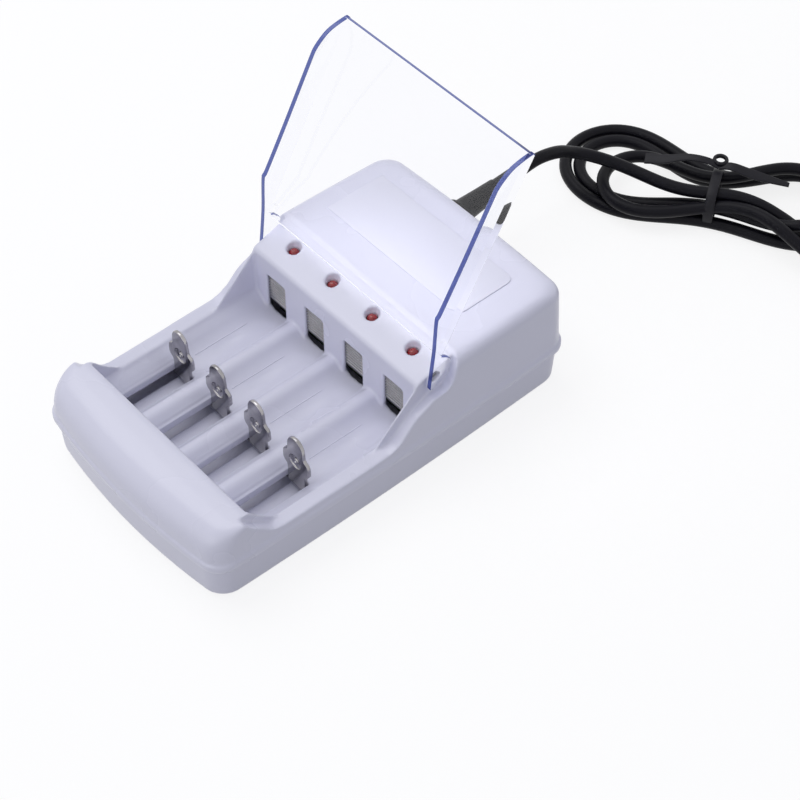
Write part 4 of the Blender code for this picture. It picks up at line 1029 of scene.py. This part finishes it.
@dataclass
class Lid:
    """The clear lid: a plate, two flanges with hinge arms and two pins."""

    finishes: Finishes
    sizes: CaseSizes = field(default_factory=CaseSizes)
    lean: float = math.radians(60.2)
    thickness: float = 1.5 * MM
    length: float = 62.75 * MM
    flange: float = 8.5 * MM
    out: float = 37.0 * MM
    edge: float = 0.28 * MM

    def frame_of(self) -> tuple[Vector, Vector, Vector]:
        """The plate's root, its direction and its inward normal, in side view."""
        ahead = Vector((math.cos(self.lean), math.sin(self.lean)))
        inward = Vector((-ahead.y, ahead.x))
        root = Vector((self.sizes.pivot_y, self.sizes.pivot_z)) + ahead * 7.6 * MM + inward * 3.3 * MM
        return root, ahead, inward

    def arm_outline(self) -> list[Point2]:
        """Side view of a flange with its arm, from the pivot to the free corner.

        Returns:
            The closed outline.
        """
        root, ahead, inward = self.frame_of()
        pivot = Vector((self.sizes.pivot_y, self.sizes.pivot_z))

        def at(along: float, across: float) -> Vector:
            """A point in the plate's own directions."""
            return root + ahead * along + inward * across

        rear = ((3.3, 6.5), (4.4, 4.7), (3.4, 1.6), (2.4, -0.3), (1.1, -1.4), (-1.2, -2.5), (-2.6, -2.6),
                (-3.0, -2.0), (-2.3, 3.8), (-1.4, 12.0))
        knots = [at(0.0, 0.0)] + [pivot + Vector((a * MM, b * MM)) for a, b in rear]
        end = self.length
        reach = self.flange
        knots += [at(12.0 * MM, reach + 0.2 * MM), at(14.2 * MM, reach), at(30.0 * MM, reach)]
        knots.append(at(end - 13.5 * MM, reach + 0.3 * MM))
        knots += [at(end - 10.5 * MM, reach + 0.2 * MM), at(end - 7.4 * MM, reach - 0.8 * MM)]
        knots += [at(end - 4.7 * MM, reach - 2.3 * MM), at(end - 2.5 * MM, reach - 4.6 * MM)]
        knots += [at(end - 1.0 * MM, 1.9 * MM), at(end - 0.15 * MM, 0.55 * MM), at(end - 0.6 * MM, 0.0)]
        smooth = smooth_path([(p.x, p.y, 0.0) for p in knots], 0.7 * MM)
        return [(p.x, p.y) for p in smooth]

    def tint_rims(self, lid: Thing, inner: float) -> None:
        """Gives the narrow rims, where one looks along the plastic, its blue depth."""
        root, ahead, inward = self.frame_of()
        lid.data.materials.append(self.finishes.made["clear_rim"])
        for face in lid.data.polygons:
            normal = Vector(face.normal.yz)
            along = (Vector(face.center.yz) - root).dot(ahead)
            behind = normal.dot(inward) < -0.4 and along < self.length - 2.5 * MM
            beyond = abs(face.center.x) > inner + 0.05 * MM and abs(face.normal.x) < 0.9 and not behind
            if beyond or (normal.dot(ahead) > 0.3 and along > self.length - 2.0 * MM):
                face.material_index = 1

    def build(self) -> None:
        """Builds and dresses the lid."""
        s = self.sizes
        root, ahead, inward = self.frame_of()
        inner = self.out - self.thickness
        corners = ((0.2 * MM, 0.0), (self.length - 0.5 * MM, 0.0), (self.length - 0.5 * MM, self.thickness),
                   (0.2 * MM, self.thickness))
        outline = [root + ahead * a + inward * b for a, b in corners]
        half = self.out - 0.3 * MM
        lid = Bench.slab("clear_cover", [(p.x, p.y) for p in outline], Axis.X, -half, half)
        Bench.round_edges(lid, self.edge, 3)
        for side in (-1, 1):
            low, high = sorted((side * (s.bay_half - 0.4 * MM), side * (inner + 0.001 * MM)))
            notch = [root + ahead * a + inward * b for a, b in (
                (-1.0 * MM, -1.0 * MM), (3.8 * MM, -1.0 * MM), (3.8 * MM, 2.5 * MM), (-1.0 * MM, 2.5 * MM))]
            Bench.carve(lid, Bench.slab("notch", [(p.x, p.y) for p in notch], Axis.X, low, high))
        for side in (-1, 1):
            low, high = sorted((side * self.out, side * inner))
            flange = Bench.slab("flange", self.arm_outline(), Axis.X, low, high)
            Bench.round_edges(flange, self.edge, 3)
            Bench.carve(lid, flange, Join.ADD)
            pin_in = s.cheek_out - s.wall + 0.2 * MM
            pin_out = self.out - self.thickness / 2
            middle = (side * (pin_in + pin_out) / 2, s.pivot_y, s.pivot_z)
            Bench.carve(lid, Bench.drum("pin", middle, 1.5 * MM, pin_out - pin_in, Axis.X), Join.ADD)
        Bench.smooth(lid, 30.0)
        self.finishes.dress(lid, "clear_lid")
        self.tint_rims(lid, inner)
        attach(lid, "lid")
        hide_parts("lid")
        log.info("clear_cover: %d faces", len(lid.data.polygons))


@dataclass
class Contacts:
    """The sliding negative contacts, the ribbed positive ones and the springs."""

    finishes: Finishes
    sizes: CaseSizes = field(default_factory=CaseSizes)
    half_outline: tuple[Point2, ...] = (
        (0.0, 28.95), (1.4, 28.65), (2.45, 27.8), (3.1, 26.4), (3.3, 24.4), (3.4, 22.9), (3.9, 22.3), (4.7, 21.9),
        (5.25, 21.0), (5.4, 19.6), (5.4, 18.0), (4.9, 17.0), (3.9, 16.3), (3.65, 15.6), (3.65, 9.8))

    def negative(self) -> Thing:
        """Models the first negative contact: a folded plate with ears, a dimple, a foot and a tab.

        Returns:
            The contact of bay 1.
        """
        s = self.sizes
        x = s.bay_x(1)
        right = [(a * MM, b * MM) for a, b in self.half_outline]
        outline = [(x + a, b) for a, b in right] + [(x - a, b) for a, b in right[:0:-1]]
        front = s.contact_y - 1.0 * MM
        plate = Bench.slab("minus_contact_1", outline, Axis.Y, front, s.contact_y + 0.12 * MM)
        Bench.round_edges(plate, 0.24 * MM, 3)
        pan = [(x + (px - x) * 0.74, 21.6 * MM + (z - 21.6 * MM) * 0.8) for px, z in outline if z > 15.4 * MM]
        Bench.carve(plate, Bench.slab("pan", pan, Axis.Y, front + 0.6 * MM, s.contact_y + 2 * MM))
        centre = (x, front, 19.9 * MM)
        swell = [(3.0, 0.5), (2.6, 1.05), (0.05, 1.1)]
        boss = Bench.turned("boss", [(r * MM, a * MM) for r, a in swell], centre, Axis.Y, 40)
        Bench.carve(plate, boss, Join.ADD)
        dish = [(2.6, -0.6), (2.55, 0.04), (2.3, 0.34), (1.85, 0.66), (1.3, 0.76), (0.05, 0.78)]
        Bench.carve(plate, Bench.turned("dish", [(r * MM, a * MM) for r, a in dish], centre, Axis.Y, 40))
        knob = [(1.0, 0.85), (0.95, 0.42), (0.75, 0.12), (0.5, 0.02), (0.36, 0.16), (0.24, 0.34), (0.04, 0.38)]
        Bench.carve(plate, Bench.turned("knob", [(r * MM, a * MM) for r, a in knob], centre, Axis.Y, 32), Join.ADD)
        low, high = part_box("negative_contact_1")
        foot_z = s.tub_bottom - 0.9 * MM
        foot = Bench.block("foot", (x - 5.5 * MM, front, foot_z),
                           (x + 5.5 * MM, high[1], foot_z + 0.6 * MM), 0.12 * MM)
        Bench.carve(plate, foot, Join.ADD)
        tab = Bench.block("tab", (x + 2.9 * MM, high[1] - 0.6 * MM, low[2]),
                          (x + 5.1 * MM, high[1], foot_z + 0.3 * MM))
        Bench.carve(plate, tab, Join.ADD)
        Bench.smooth(plate, 38.0)
        return plate

    def positive(self) -> Thing:
        """Models the first positive contact: a ribbed plate with a leg back to the board.

        Returns:
            The contact of bay 1.
        """
        s = self.sizes
        x = s.bay_x(1)
        front = s.window_y + 0.65 * MM
        low = s.window_top - 9.6 * MM
        high = s.window_top + 0.6 * MM
        ribs = 9
        steps = ribs * 10
        points = []
        for k in range(steps + 1):
            z = low + (high - low) * k / steps
            wave = 0.5 + 0.5 * math.cos(2 * math.pi * ribs * k / steps)
            points.append((front + 0.75 * MM * wave**3, z))
        back = front + 1.2 * MM
        board = s.lamp_y - 1.0 * MM
        points += [(front + 0.4 * MM, high + 1.4 * MM), (back, high + 1.4 * MM), (back, low), (board, low)]
        points += [(board, low - 0.6 * MM), (front + 0.4 * MM, low - 0.6 * MM)]
        plate = Bench.slab("plus_contact_1", points, Axis.X, x - 3.85 * MM, x + 3.85 * MM)
        Bench.smooth(plate, 50.0)
        return plate

    def build(self) -> None:
        """Builds and dresses the contacts of every bay."""
        first = self.negative()
        second = self.positive()
        for n in BAYS:
            shift = (self.sizes.pitch * (n - 1), 0.0, 0.0)
            # Both contacts take metals darkened to paint dark reflections.
            pairs = ((first, "minus_contact", "negative_contact", f"slider_{n}", "nickel_with_painted_dark_reflection"),
                     (second, "plus_contact", "positive_contact", "case", "ribbed_plate_painted_dark_reflection"))
            for master, name, node, body, finish in pairs:
                piece = master if n == 1 else Bench.copy(master, f"{name}_{n}", shift)
                self.finishes.dress(piece, finish)
                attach(piece, body)
                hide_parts(f"{node}_{n}")
            self.finishes.recoat(f"contact_spring_{n}", "spring_wire")
        log.info("contacts: %d and %d faces each", len(first.data.polygons), len(second.data.polygons))


@dataclass
class Lamps:
    """The four red lamps in the ledge."""

    finishes: Finishes
    sizes: CaseSizes = field(default_factory=CaseSizes)
    radius: float = 1.56 * MM

    def build(self) -> None:
        """Builds one lamp and copies it to every bay."""
        s = self.sizes
        low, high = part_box("lamp_1")
        x = s.bay_x(1)
        base = high[2] - 5.0 * MM
        profile = [(0.03 * MM, 0.0), (self.radius + 0.35 * MM, 0.0), (self.radius + 0.35 * MM, 0.9 * MM)]
        profile += [(self.radius, 1.0 * MM), (self.radius, 3.4 * MM)]
        for angle in range(0, 90, 9):
            turn = math.radians(angle)
            profile.append((self.radius * math.cos(turn), 3.5 * MM + self.radius * math.sin(turn)))
        profile.append((0.03 * MM, 5.0 * MM))
        lamp = Bench.turned("red_lamp_1", profile, (x, s.lamp_y, base), Axis.Z, 40)
        for side in (-1, 1):
            y = s.lamp_y + side * 1.25 * MM
            leg = Bench.block("leg", (x - 0.25 * MM, y - 0.25 * MM, low[2]),
                              (x + 0.25 * MM, y + 0.25 * MM, base + 0.4 * MM))
            Bench.carve(lamp, leg, Join.ADD)
        Bench.smooth(lamp, 40.0)
        for n in BAYS:
            piece = lamp if n == 1 else Bench.copy(lamp, f"red_lamp_{n}", (s.pitch * (n - 1), 0.0, 0.0))
            self.finishes.dress(piece, "red_lens")
            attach(piece, "case")
            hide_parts(f"lamp_{n}")
        log.info("lamps: %d faces each", len(lamp.data.polygons))


@dataclass
class Electronics:
    """The boards and the parts on them, which keep their solids."""

    finishes: Finishes

    def build(self) -> None:
        """Dresses the inner parts."""
        # The boards take a green darkened as painted shade.
        for node, finish in (("contact_board", "green_board_painted_shade"), ("power_board", "green_board_painted_shade"),
                             ("transformer", "iron_core"), ("capacitor_1", "black_sleeve"),
                             ("capacitor_2", "black_sleeve")):
            self.finishes.recoat(node, finish)
        log.info("electronics dressed")


@dataclass
class Lead:
    """The mains lead with its strain relief, its hank, the tie round it and the plug."""

    finishes: Finishes
    radius: float = 2.0 * MM
    boot_x: float = -16.5 * MM
    boot_z: float = 19.8 * MM
    boot_rise: float = 2.6 * MM
    boot_start: float = 66.0 * MM
    boot_end: float = 97.1 * MM
    feed: tuple[Point3, ...] = (
        (-16.5, 97.4, 22.4), (-16.5, 102.5, 22.8), (-16.4, 107.6, 22.2), (-16.2, 113.6, 20.2), (-15.2, 119.2, 17.2),
        (-12.2, 124.8, 14.9), (-6.4, 129.4, 13.4), (1.2, 132.6, 12.3), (9.0, 135.4, 11.4), (16.0, 139.3, 10.7))
    tie_at: Point3 = (19.4, 145.9, 6.6)
    plug_at: Point2 = (60.4, 193.0)
    plug_turn: float = math.radians(132.0)
    spacing: float = 3.0
    relax_steps: int = 260
    firm_steps: int = 200
    clearance: float = 0.12

    @staticmethod
    def fold(centre: Point2, radius: float, first: float, last: float, low: float, high: float,
             count: int) -> list[Point3]:
        """Points on one round fold of the hank.

        Args:
            centre: The fold's middle in plan, in millimetres.
            radius: Its radius.
            first: The angle that it starts at, in degrees.
            last: The angle that it ends at.
            low: Its height at the start.
            high: Its height at the end.
            count: How many points it has.

        Returns:
            The points.
        """
        found = []
        for k in range(count):
            share = k / (count - 1)
            turn = math.radians(first + (last - first) * share)
            found.append((centre[0] + radius * math.cos(turn), centre[1] + radius * math.sin(turn),
                          low + (high - low) * share))
        return found

    def turns(self) -> list[Point3]:
        """The hank from the feed to the tail: three turns, each with a fold at both ends."""
        points = [(23.0, 146.2, 11.4), (31.0, 150.0, 11.2), (39.0, 152.4, 9.8)]
        points += self.fold((41.4, 169.6), 17.0, -58, 160, 7.6, 2.2, 9)
        points += [(21.6, 168.4, 2.2), (16.4, 161.4, 2.2), (9.0, 157.2, 2.2), (0.0, 155.8, 2.2)]
        points += self.fold((-12.4, 137.5), 17.4, 96, 280, 2.2, 2.2, 8)
        points += [(-1.0, 121.6, 2.2), (6.4, 126.0, 2.2), (13.2, 132.4, 2.2), (20.4, 138.6, 2.2), (28.0, 143.2, 2.2),
                   (36.4, 147.0, 2.2)]
        points += self.fold((38.6, 164.6), 14.8, -54, 160, 2.8, 5.6, 8)
        points += [(20.4, 162.0, 5.2), (15.0, 155.4, 4.2), (7.4, 151.6, 3.2), (-2.0, 150.6, 2.5)]
        points += self.fold((-12.0, 137.2), 13.2, 98, 268, 2.4, 2.4, 6)
        points += [(-4.4, 125.4, 2.6), (2.6, 128.8, 3.2), (9.4, 134.0, 4.8), (16.4, 139.6, 6.2), (23.8, 144.0, 6.6),
                   (31.4, 147.6, 7.4)]
        points += self.fold((37.4, 163.0), 13.6, -44, 158, 8.8, 9.0, 7)
        points += [(21.2, 160.4, 8.8), (16.4, 153.6, 8.0), (9.6, 149.4, 7.2), (3.6, 147.8, 6.8)]
        points += self.fold((0.6, 134.6), 13.1, 106, 282, 6.6, 6.8, 6)
        points += [(10.0, 125.8, 7.0), (15.6, 131.8, 7.4), (21.0, 138.6, 8.4), (28.0, 144.4, 9.8), (36.4, 147.8, 11.4),
                   (45.6, 148.6, 10.4), (54.8, 149.4, 7.6), (63.4, 150.6, 6.2)]
        return points + self.fold((66.4, 166.4), 13.8, -66, 16, 6.0, 7.0, 4) + [(75.8, 175.8, 7.2)]

    def route(self) -> list[Vector]:
        """The lead's middle line in metres, its strands pushed apart where they would meet.

        Returns:
            Evenly spaced points from the boot to the plug.
        """
        path = np.array([tuple(p) for p in smooth_path([*self.feed, *self.turns()], self.spacing)])
        home = path.copy()
        count = len(path)
        index = np.arange(count)
        near = np.abs(index[:, None] - index[None, :]) < 5
        fixed = np.zeros(count, dtype=bool)
        fixed[:9] = True
        fixed[-4:] = True
        wanted = 2 * self.radius / MM + self.clearance
        for step in range(self.relax_steps):
            gap = path[:, None, :] - path[None, :, :]
            distance = np.sqrt((gap**2).sum(axis=2)) + 1e-9
            short = np.where(near, 0.0, np.clip(wanted - distance, 0.0, None))
            push = (gap / distance[:, :, None] * short[:, :, None]).sum(axis=1) * 0.32
            even = np.zeros_like(path)
            even[1:-1] = (path[:-2] + path[2:]) / 2 - path[1:-1]
            bend = np.zeros_like(path)
            bend[2:-2] = even[2:-2] * 2 - (even[1:-3] + even[3:-1])
            pull = (home - path) * (0.03 if step < self.firm_steps else 0.004)
            move = push + bend * 0.22 + pull
            move[:, 2] -= 0.01
            move[fixed] = 0.0
            path += move
            path[:, 2] = np.maximum(path[:, 2], self.radius / MM + 0.15)
        return [Vector(p) * MM for p in path]

    def cord(self) -> tuple[Thing, float]:
        """Models the lead as one round curve.

        Returns:
            The curve object and its length in metres.
        """
        route = self.route()
        data = bpy.data.curves.new("mains_lead", "CURVE")
        data.dimensions = "3D"
        line = data.splines.new("POLY")
        smooth = smooth_path(route, 1.5 * MM)
        line.points.add(len(smooth) - 1)
        for slot, p in zip(line.points, smooth):
            slot.co = (*p, 1.0)
        data.bevel_depth = self.radius
        data.bevel_resolution = 5
        data.use_fill_caps = True
        line.use_smooth = True
        lead = bpy.data.objects.new("mains_lead", data)
        bpy.context.collection.objects.link(lead)
        length = sum((q - p).length for p, q in zip(smooth, smooth[1:]))
        return lead, length

    def tie(self) -> Thing:
        """Models the flat vinyl tie: a loop round the strands, a knot and two tapered tails.

        Returns:
            The tie.
        """
        centre = Vector(self.tie_at) * MM
        along = Vector((0.84, 0.54, 0.0)).normalized()
        across = Vector((-0.54, 0.84, 0.0)).normalized()
        up = Vector((0.0, 0.0, 1.0))
        rings = []
        for k in range(40):
            turn = 2 * math.pi * k / 40
            a = math.copysign(abs(math.cos(turn)) ** 0.75, math.cos(turn)) * 8.4 * MM
            b = math.copysign(abs(math.sin(turn)) ** 0.75, math.sin(turn)) * 6.9 * MM
            out = (across * math.cos(turn) + up * math.sin(turn)).normalized()
            middle = centre + across * a + up * b
            middle.z = max(middle.z, 0.75 * MM)
            ring = []
            for u, v in ((-1.5, -0.35), (-1.15, -0.5), (1.15, -0.5), (1.5, -0.35), (1.5, 0.35),
                         (1.15, 0.5), (-1.15, 0.5), (-1.5, 0.35)):
                ring.append(tuple(middle + along * (u * MM) + out * (v * MM)))
            rings.append(ring)
        loop = Bench.skin("lead_tie", rings, closed_path=True)
        top = centre + up * 7.4 * MM
        knot = top + across * 5.6 * MM + up * 0.4 * MM
        tails = (
            ([knot, knot - along * 4 * MM + up * 1.4 * MM, knot - along * 10 * MM + up * 1.2 * MM,
              knot - along * 17 * MM - up * 1.4 * MM, knot - along * 23 * MM - up * 2.6 * MM],
             (2.2, 2.4, 2.6, 3.4, 3.8)),
            ([knot, knot + along * 4 * MM + up * 0.8 * MM, knot + along * 10 * MM - up * 0.6 * MM,
              knot + along * 17 * MM - up * 1.6 * MM, knot + along * 22 * MM - up * 2.2 * MM],
             (2.4, 3.0, 3.4, 2.6, 1.6)),
        )
        for path, widths in tails:
            fine = smooth_path(path, 1.2 * MM)
            wide = np.interp(np.linspace(0, 1, len(fine)), np.linspace(0, 1, len(widths)), widths)
            side = (across + up * 0.35).normalized()
            piece = Bench.strip("tail", fine, [side] * len(fine), [w * MM for w in wide], 0.8 * MM)
            Bench.carve(loop, piece, Join.ADD)
        bow = []
        for k in range(28):
            turn = 2 * math.pi * k / 28
            point = knot + across * ((1 - math.cos(turn)) * 1.9 * MM) + along * (math.sin(turn) * 1.9 * MM)
            bow.append(point + up * 0.9 * MM)
        rings = []
        for k, point in enumerate(bow):
            ahead = (bow[(k + 1) % 28] - bow[k - 1]).normalized()
            out = ahead.cross(up).normalized()
            rings.append([tuple(point + out * (math.cos(t) * 0.6 * MM) + up * (math.sin(t) * 0.8 * MM))
                          for t in [2 * math.pi * j / 10 for j in range(10)]])
        Bench.carve(loop, Bench.skin("bow", rings, closed_path=True), Join.ADD)
        Bench.smooth(loop, 45.0)
        return loop

    def boot(self) -> Thing:
        """Models the soft strain relief: a flange inside, a ribbed base and a long cone.

        Returns:
            The boot.
        """
        wall_y = 64.75 * MM
        steps = [(-4.3, 4.7), (-2.7, 4.7), (-2.65, 3.6), (0.75, 3.6), (0.8, 4.75), (1.1, 5.0), (3.4, 5.05), (3.6, 4.75),
                 (3.9, 4.72), (4.1, 5.05), (6.0, 5.05), (6.9, 4.95), (7.5, 4.6), (7.8, 3.95), (8.4, 3.8), (10.0, 3.7),
                 (16.0, 3.3), (22.0, 2.95), (22.3, 2.6), (28.0, 2.45), (32.0, 2.35), (32.35, 2.2)]
        rings = []
        for along, radius in steps:
            y = wall_y + along * MM
            share = max(0.0, min(1.0, (y - self.boot_start) / (self.boot_end - self.boot_start)))
            centre = Vector((self.boot_x, y, self.boot_z + self.boot_rise * share**1.4))
            rings.append([tuple(centre + Vector((math.sin(t), 0.0, math.cos(t))) * (radius * MM))
                          for t in [2 * math.pi * k / 40 for k in range(40)]])
        boot = Bench.skin("cord_boot", rings)
        Bench.smooth(boot, 35.0)
        return boot

    def plug(self) -> tuple[Thing, list[Thing]]:
        """Models the moulded plug and its two flat pins.

        Returns:
            The plug's body and its pins.
        """
        place = Matrix.Translation(Vector((*self.plug_at, 0.0)) * MM) @ Matrix.Rotation(self.plug_turn, 4, "Z")
        middle = 7.2
        knots = [(-21.5, 2.55, 2.55), (-21.0, 2.8, 2.8), (-18.0, 3.1, 3.0), (-14.6, 3.9, 3.4), (-13.4, 4.2, 3.6),
                 (-12.4, 6.4, 4.4), (-10.6, 8.1, 5.2), (-7.6, 9.5, 6.2), (-2.4, 10.6, 6.85), (4.0, 10.9, 6.95),
                 (10.6, 11.0, 7.0), (11.9, 10.75, 6.75), (12.5, 10.2, 6.2)]
        rows = np.array(knots)
        fine = np.concatenate([np.linspace(a, b, 4, endpoint=False) for a, b in zip(rows[:-1, 0], rows[1:, 0])])
        fine = np.append(fine, rows[-1, 0])
        rings = []
        for along in fine:
            wide = float(np.interp(along, rows[:, 0], rows[:, 1]))
            tall = float(np.interp(along, rows[:, 0], rows[:, 2]))
            if -20.0 < along < -14.0:
                groove = 0.4 * max(0.0, math.sin((along + 20.0) * math.pi)) ** 2
                wide -= groove
                tall -= groove
            ring = []
            for k in range(48):
                turn = 2 * math.pi * k / 48
                c, q = math.cos(turn), math.sin(turn)
                a = math.copysign(abs(c) ** 0.55, c) * wide
                b = math.copysign(abs(q) ** 0.55, q) * tall
                ring.append(tuple(place @ (Vector((along, a, middle + b)) * MM)))
            rings.append(ring)
        body = Bench.skin("mains_plug", rings)
        pins = []
        for n, side in enumerate((-1, 1), start=1):
            y = side * 6.35
            pocket = Bench.block("pocket", tuple(v * MM for v in (8.2, y - 1.05, middle - 3.4)),
                                 tuple(v * MM for v in (30.0, y + 1.05, middle + 3.4)))
            pocket.data.transform(place)
            Bench.carve(body, pocket)
            pin = Bench.block(f"flat_pin_{n}", tuple(v * MM for v in (8.5, y - 0.75, middle - 3.1)),
                              tuple(v * MM for v in (27.5, y + 0.75, middle + 3.1)), 0.35 * MM, 3)
            pin.data.transform(place)
            Bench.smooth(pin, 40.0)
            pins.append(pin)
        Bench.smooth(body, 40.0)
        return body, pins

    def build(self) -> None:
        """Builds and dresses the lead and what is on it."""
        plug, pins = self.plug()
        tie = self.tie()
        boot = self.boot()
        lead, length = self.cord()
        for piece, node, finish, holder in (
                (plug, "plug", "black_vinyl", "black_vinyl"), (tie, "cord_tie", "tie_vinyl", "black_vinyl"),
                (boot, "strain_relief", "black_vinyl", "black_vinyl"),
                (pins[0], "plug_pin_1", "pin_plate", "plated_brass"),
                (pins[1], "plug_pin_2", "pin_plate", "plated_brass")):
            self.finishes.dress(piece, finish)
            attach(piece, "case")
            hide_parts(node)
        self.finishes.dress(lead, "black_vinyl")
        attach(lead, "case")
        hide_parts("cord", "cord_hank", "cord_tail")
        log.info("lead: %.3f m", length)


@dataclass
class Studio:
    """The camera, the floor and the soft light."""

    eye: Point3 = (0.31671, -0.24174, 0.4599)
    look: Point3 = (-0.4955, 0.4320, -0.7536)
    lens: float = 95.5
    floor_colour: Point3 = (0.50, 0.50, 0.51)
    seen_colour: Point3 = (0.21, 0.21, 0.215)
    floor_glow: float = 0.83
    sky: float = 0.50
    sky_colour: Point3 = (0.90, 0.915, 1.0)
    aim: Point3 = (0.0, 0.0, 0.02)
    key_place: Point3 = (-0.46, -0.06, 0.98)
    key_size: float = 0.8
    key_power: float = 3.75
    fill_place: Point3 = (0.1, -1.08, 0.24)
    fill_size: float = 0.9
    fill_power: float = 2.0

    def camera(self) -> None:
        """Sets the camera of the photograph."""
        data = bpy.data.cameras.new("camera")
        data.lens = self.lens
        data.sensor_width = 36.0
        data.clip_start = 0.01
        camera = bpy.data.objects.new("camera", data)
        bpy.context.collection.objects.link(camera)
        camera.location = self.eye
        camera.rotation_euler = Vector(self.look).to_track_quat("-Z", "Y").to_euler()
        bpy.context.scene.camera = camera

    def world(self) -> None:
        """Sets a pale sky that shows white to the camera, in gloss and through the lid."""
        world = bpy.data.worlds.new("studio")
        bpy.context.scene.world = world
        world.use_nodes = True
        tree = world.node_tree
        back = tree.nodes["Background"]
        back.inputs["Color"].default_value = (*self.sky_colour, 1.0)
        back.inputs["Strength"].default_value = self.sky
        white = tree.nodes.new("ShaderNodeBackground")
        white.inputs["Color"].default_value = (1.0, 1.0, 1.0, 1.0)
        rays = tree.nodes.new("ShaderNodeLightPath")
        seen = self.seen(tree, rays)
        mix = tree.nodes.new("ShaderNodeMixShader")
        tree.links.new(seen, mix.inputs["Fac"])
        tree.links.new(back.outputs["Background"], mix.inputs[1])
        tree.links.new(white.outputs["Background"], mix.inputs[2])
        tree.links.new(mix.outputs["Shader"], tree.nodes["World Output"].inputs["Surface"])

    @staticmethod
    def seen(tree: bpy.types.NodeTree, rays: bpy.types.Node) -> bpy.types.NodeSocket:
        """Joins the rays that show a background: camera, glossy and transmission.

        Args:
            tree: The node tree.
            rays: Its Light Path node.

        Returns:
            The socket that is 1 for those rays.
        """
        first = tree.nodes.new("ShaderNodeMath")
        first.operation = "MAXIMUM"
        tree.links.new(rays.outputs["Is Camera Ray"], first.inputs[0])
        tree.links.new(rays.outputs["Is Glossy Ray"], first.inputs[1])
        second = tree.nodes.new("ShaderNodeMath")
        second.operation = "MAXIMUM"
        tree.links.new(first.outputs["Value"], second.inputs[0])
        tree.links.new(rays.outputs["Is Transmission Ray"], second.inputs[1])
        return second.outputs["Value"]

    def floor(self) -> None:
        """Lays the pale floor, lifted to white where nothing shades it."""
        Bench.take()
        bpy.ops.mesh.primitive_plane_add(size=6.0, location=(0.0, 0.0, 0.0))
        floor = Bench.settle("studio_floor")
        made = bpy.data.materials.new("studio_floor")
        made.use_nodes = True
        tree = made.node_tree
        shader = tree.nodes["Principled BSDF"]
        colour = tree.nodes.new("ShaderNodeMix")
        colour.data_type = "RGBA"
        colour.inputs["A"].default_value = (*self.floor_colour, 1.0)
        colour.inputs["B"].default_value = (*self.seen_colour, 1.0)
        tree.links.new(colour.outputs["Result"], shader.inputs["Base Color"])
        shader.inputs["Roughness"].default_value = 0.9
        shader.inputs["Specular IOR Level"].default_value = 0.0
        glow = tree.nodes.new("ShaderNodeEmission")
        rays = tree.nodes.new("ShaderNodeLightPath")
        strength = tree.nodes.new("ShaderNodeMath")
        strength.operation = "MULTIPLY"
        strength.inputs[1].default_value = self.floor_glow
        seen = self.seen(tree, rays)
        tree.links.new(seen, strength.inputs[0])
        tree.links.new(seen, colour.inputs["Factor"])
        tree.links.new(strength.outputs["Value"], glow.inputs["Strength"])
        both = tree.nodes.new("ShaderNodeAddShader")
        tree.links.new(shader.outputs["BSDF"], both.inputs[0])
        tree.links.new(glow.outputs["Emission"], both.inputs[1])
        tree.links.new(both.outputs["Shader"], tree.nodes["Material Output"].inputs["Surface"])
        floor.data.materials.append(made)

    def softbox(self, name: str, place: Point3, size: float, power: float) -> None:
        """Hangs a square soft white light that faces the aim."""
        data = bpy.data.lights.new(name, "AREA")
        data.shape = "SQUARE"
        data.size = size
        data.energy = power
        lamp = bpy.data.objects.new(name, data)
        lamp.location = place
        lamp.rotation_euler = (Vector(self.aim) - Vector(place)).to_track_quat("-Z", "Y").to_euler()
        bpy.context.collection.objects.link(lamp)

    def build(self) -> None:
        """Builds the studio."""
        bpy.context.scene.view_settings.view_transform = "Standard"
        self.camera()
        self.world()
        self.floor()
        self.softbox("key", self.key_place, self.key_size, self.key_power)
        self.softbox("fill", self.fill_place, self.fill_size, self.fill_power)
        log.info("studio ready")


def main() -> None:
    """Builds the studio and every sub-assembly of the charger."""
    logging.basicConfig(level=logging.INFO, format="%(name)s %(message)s")
    Studio().build()
    finishes = Finishes()
    for part in (Lead(finishes), Case(finishes), Lid(finishes), Contacts(finishes), Lamps(finishes),
                 Electronics(finishes)):
        part.build()
        log.info("%s built", type(part).__name__)


if __name__ == "__main__":
    main()
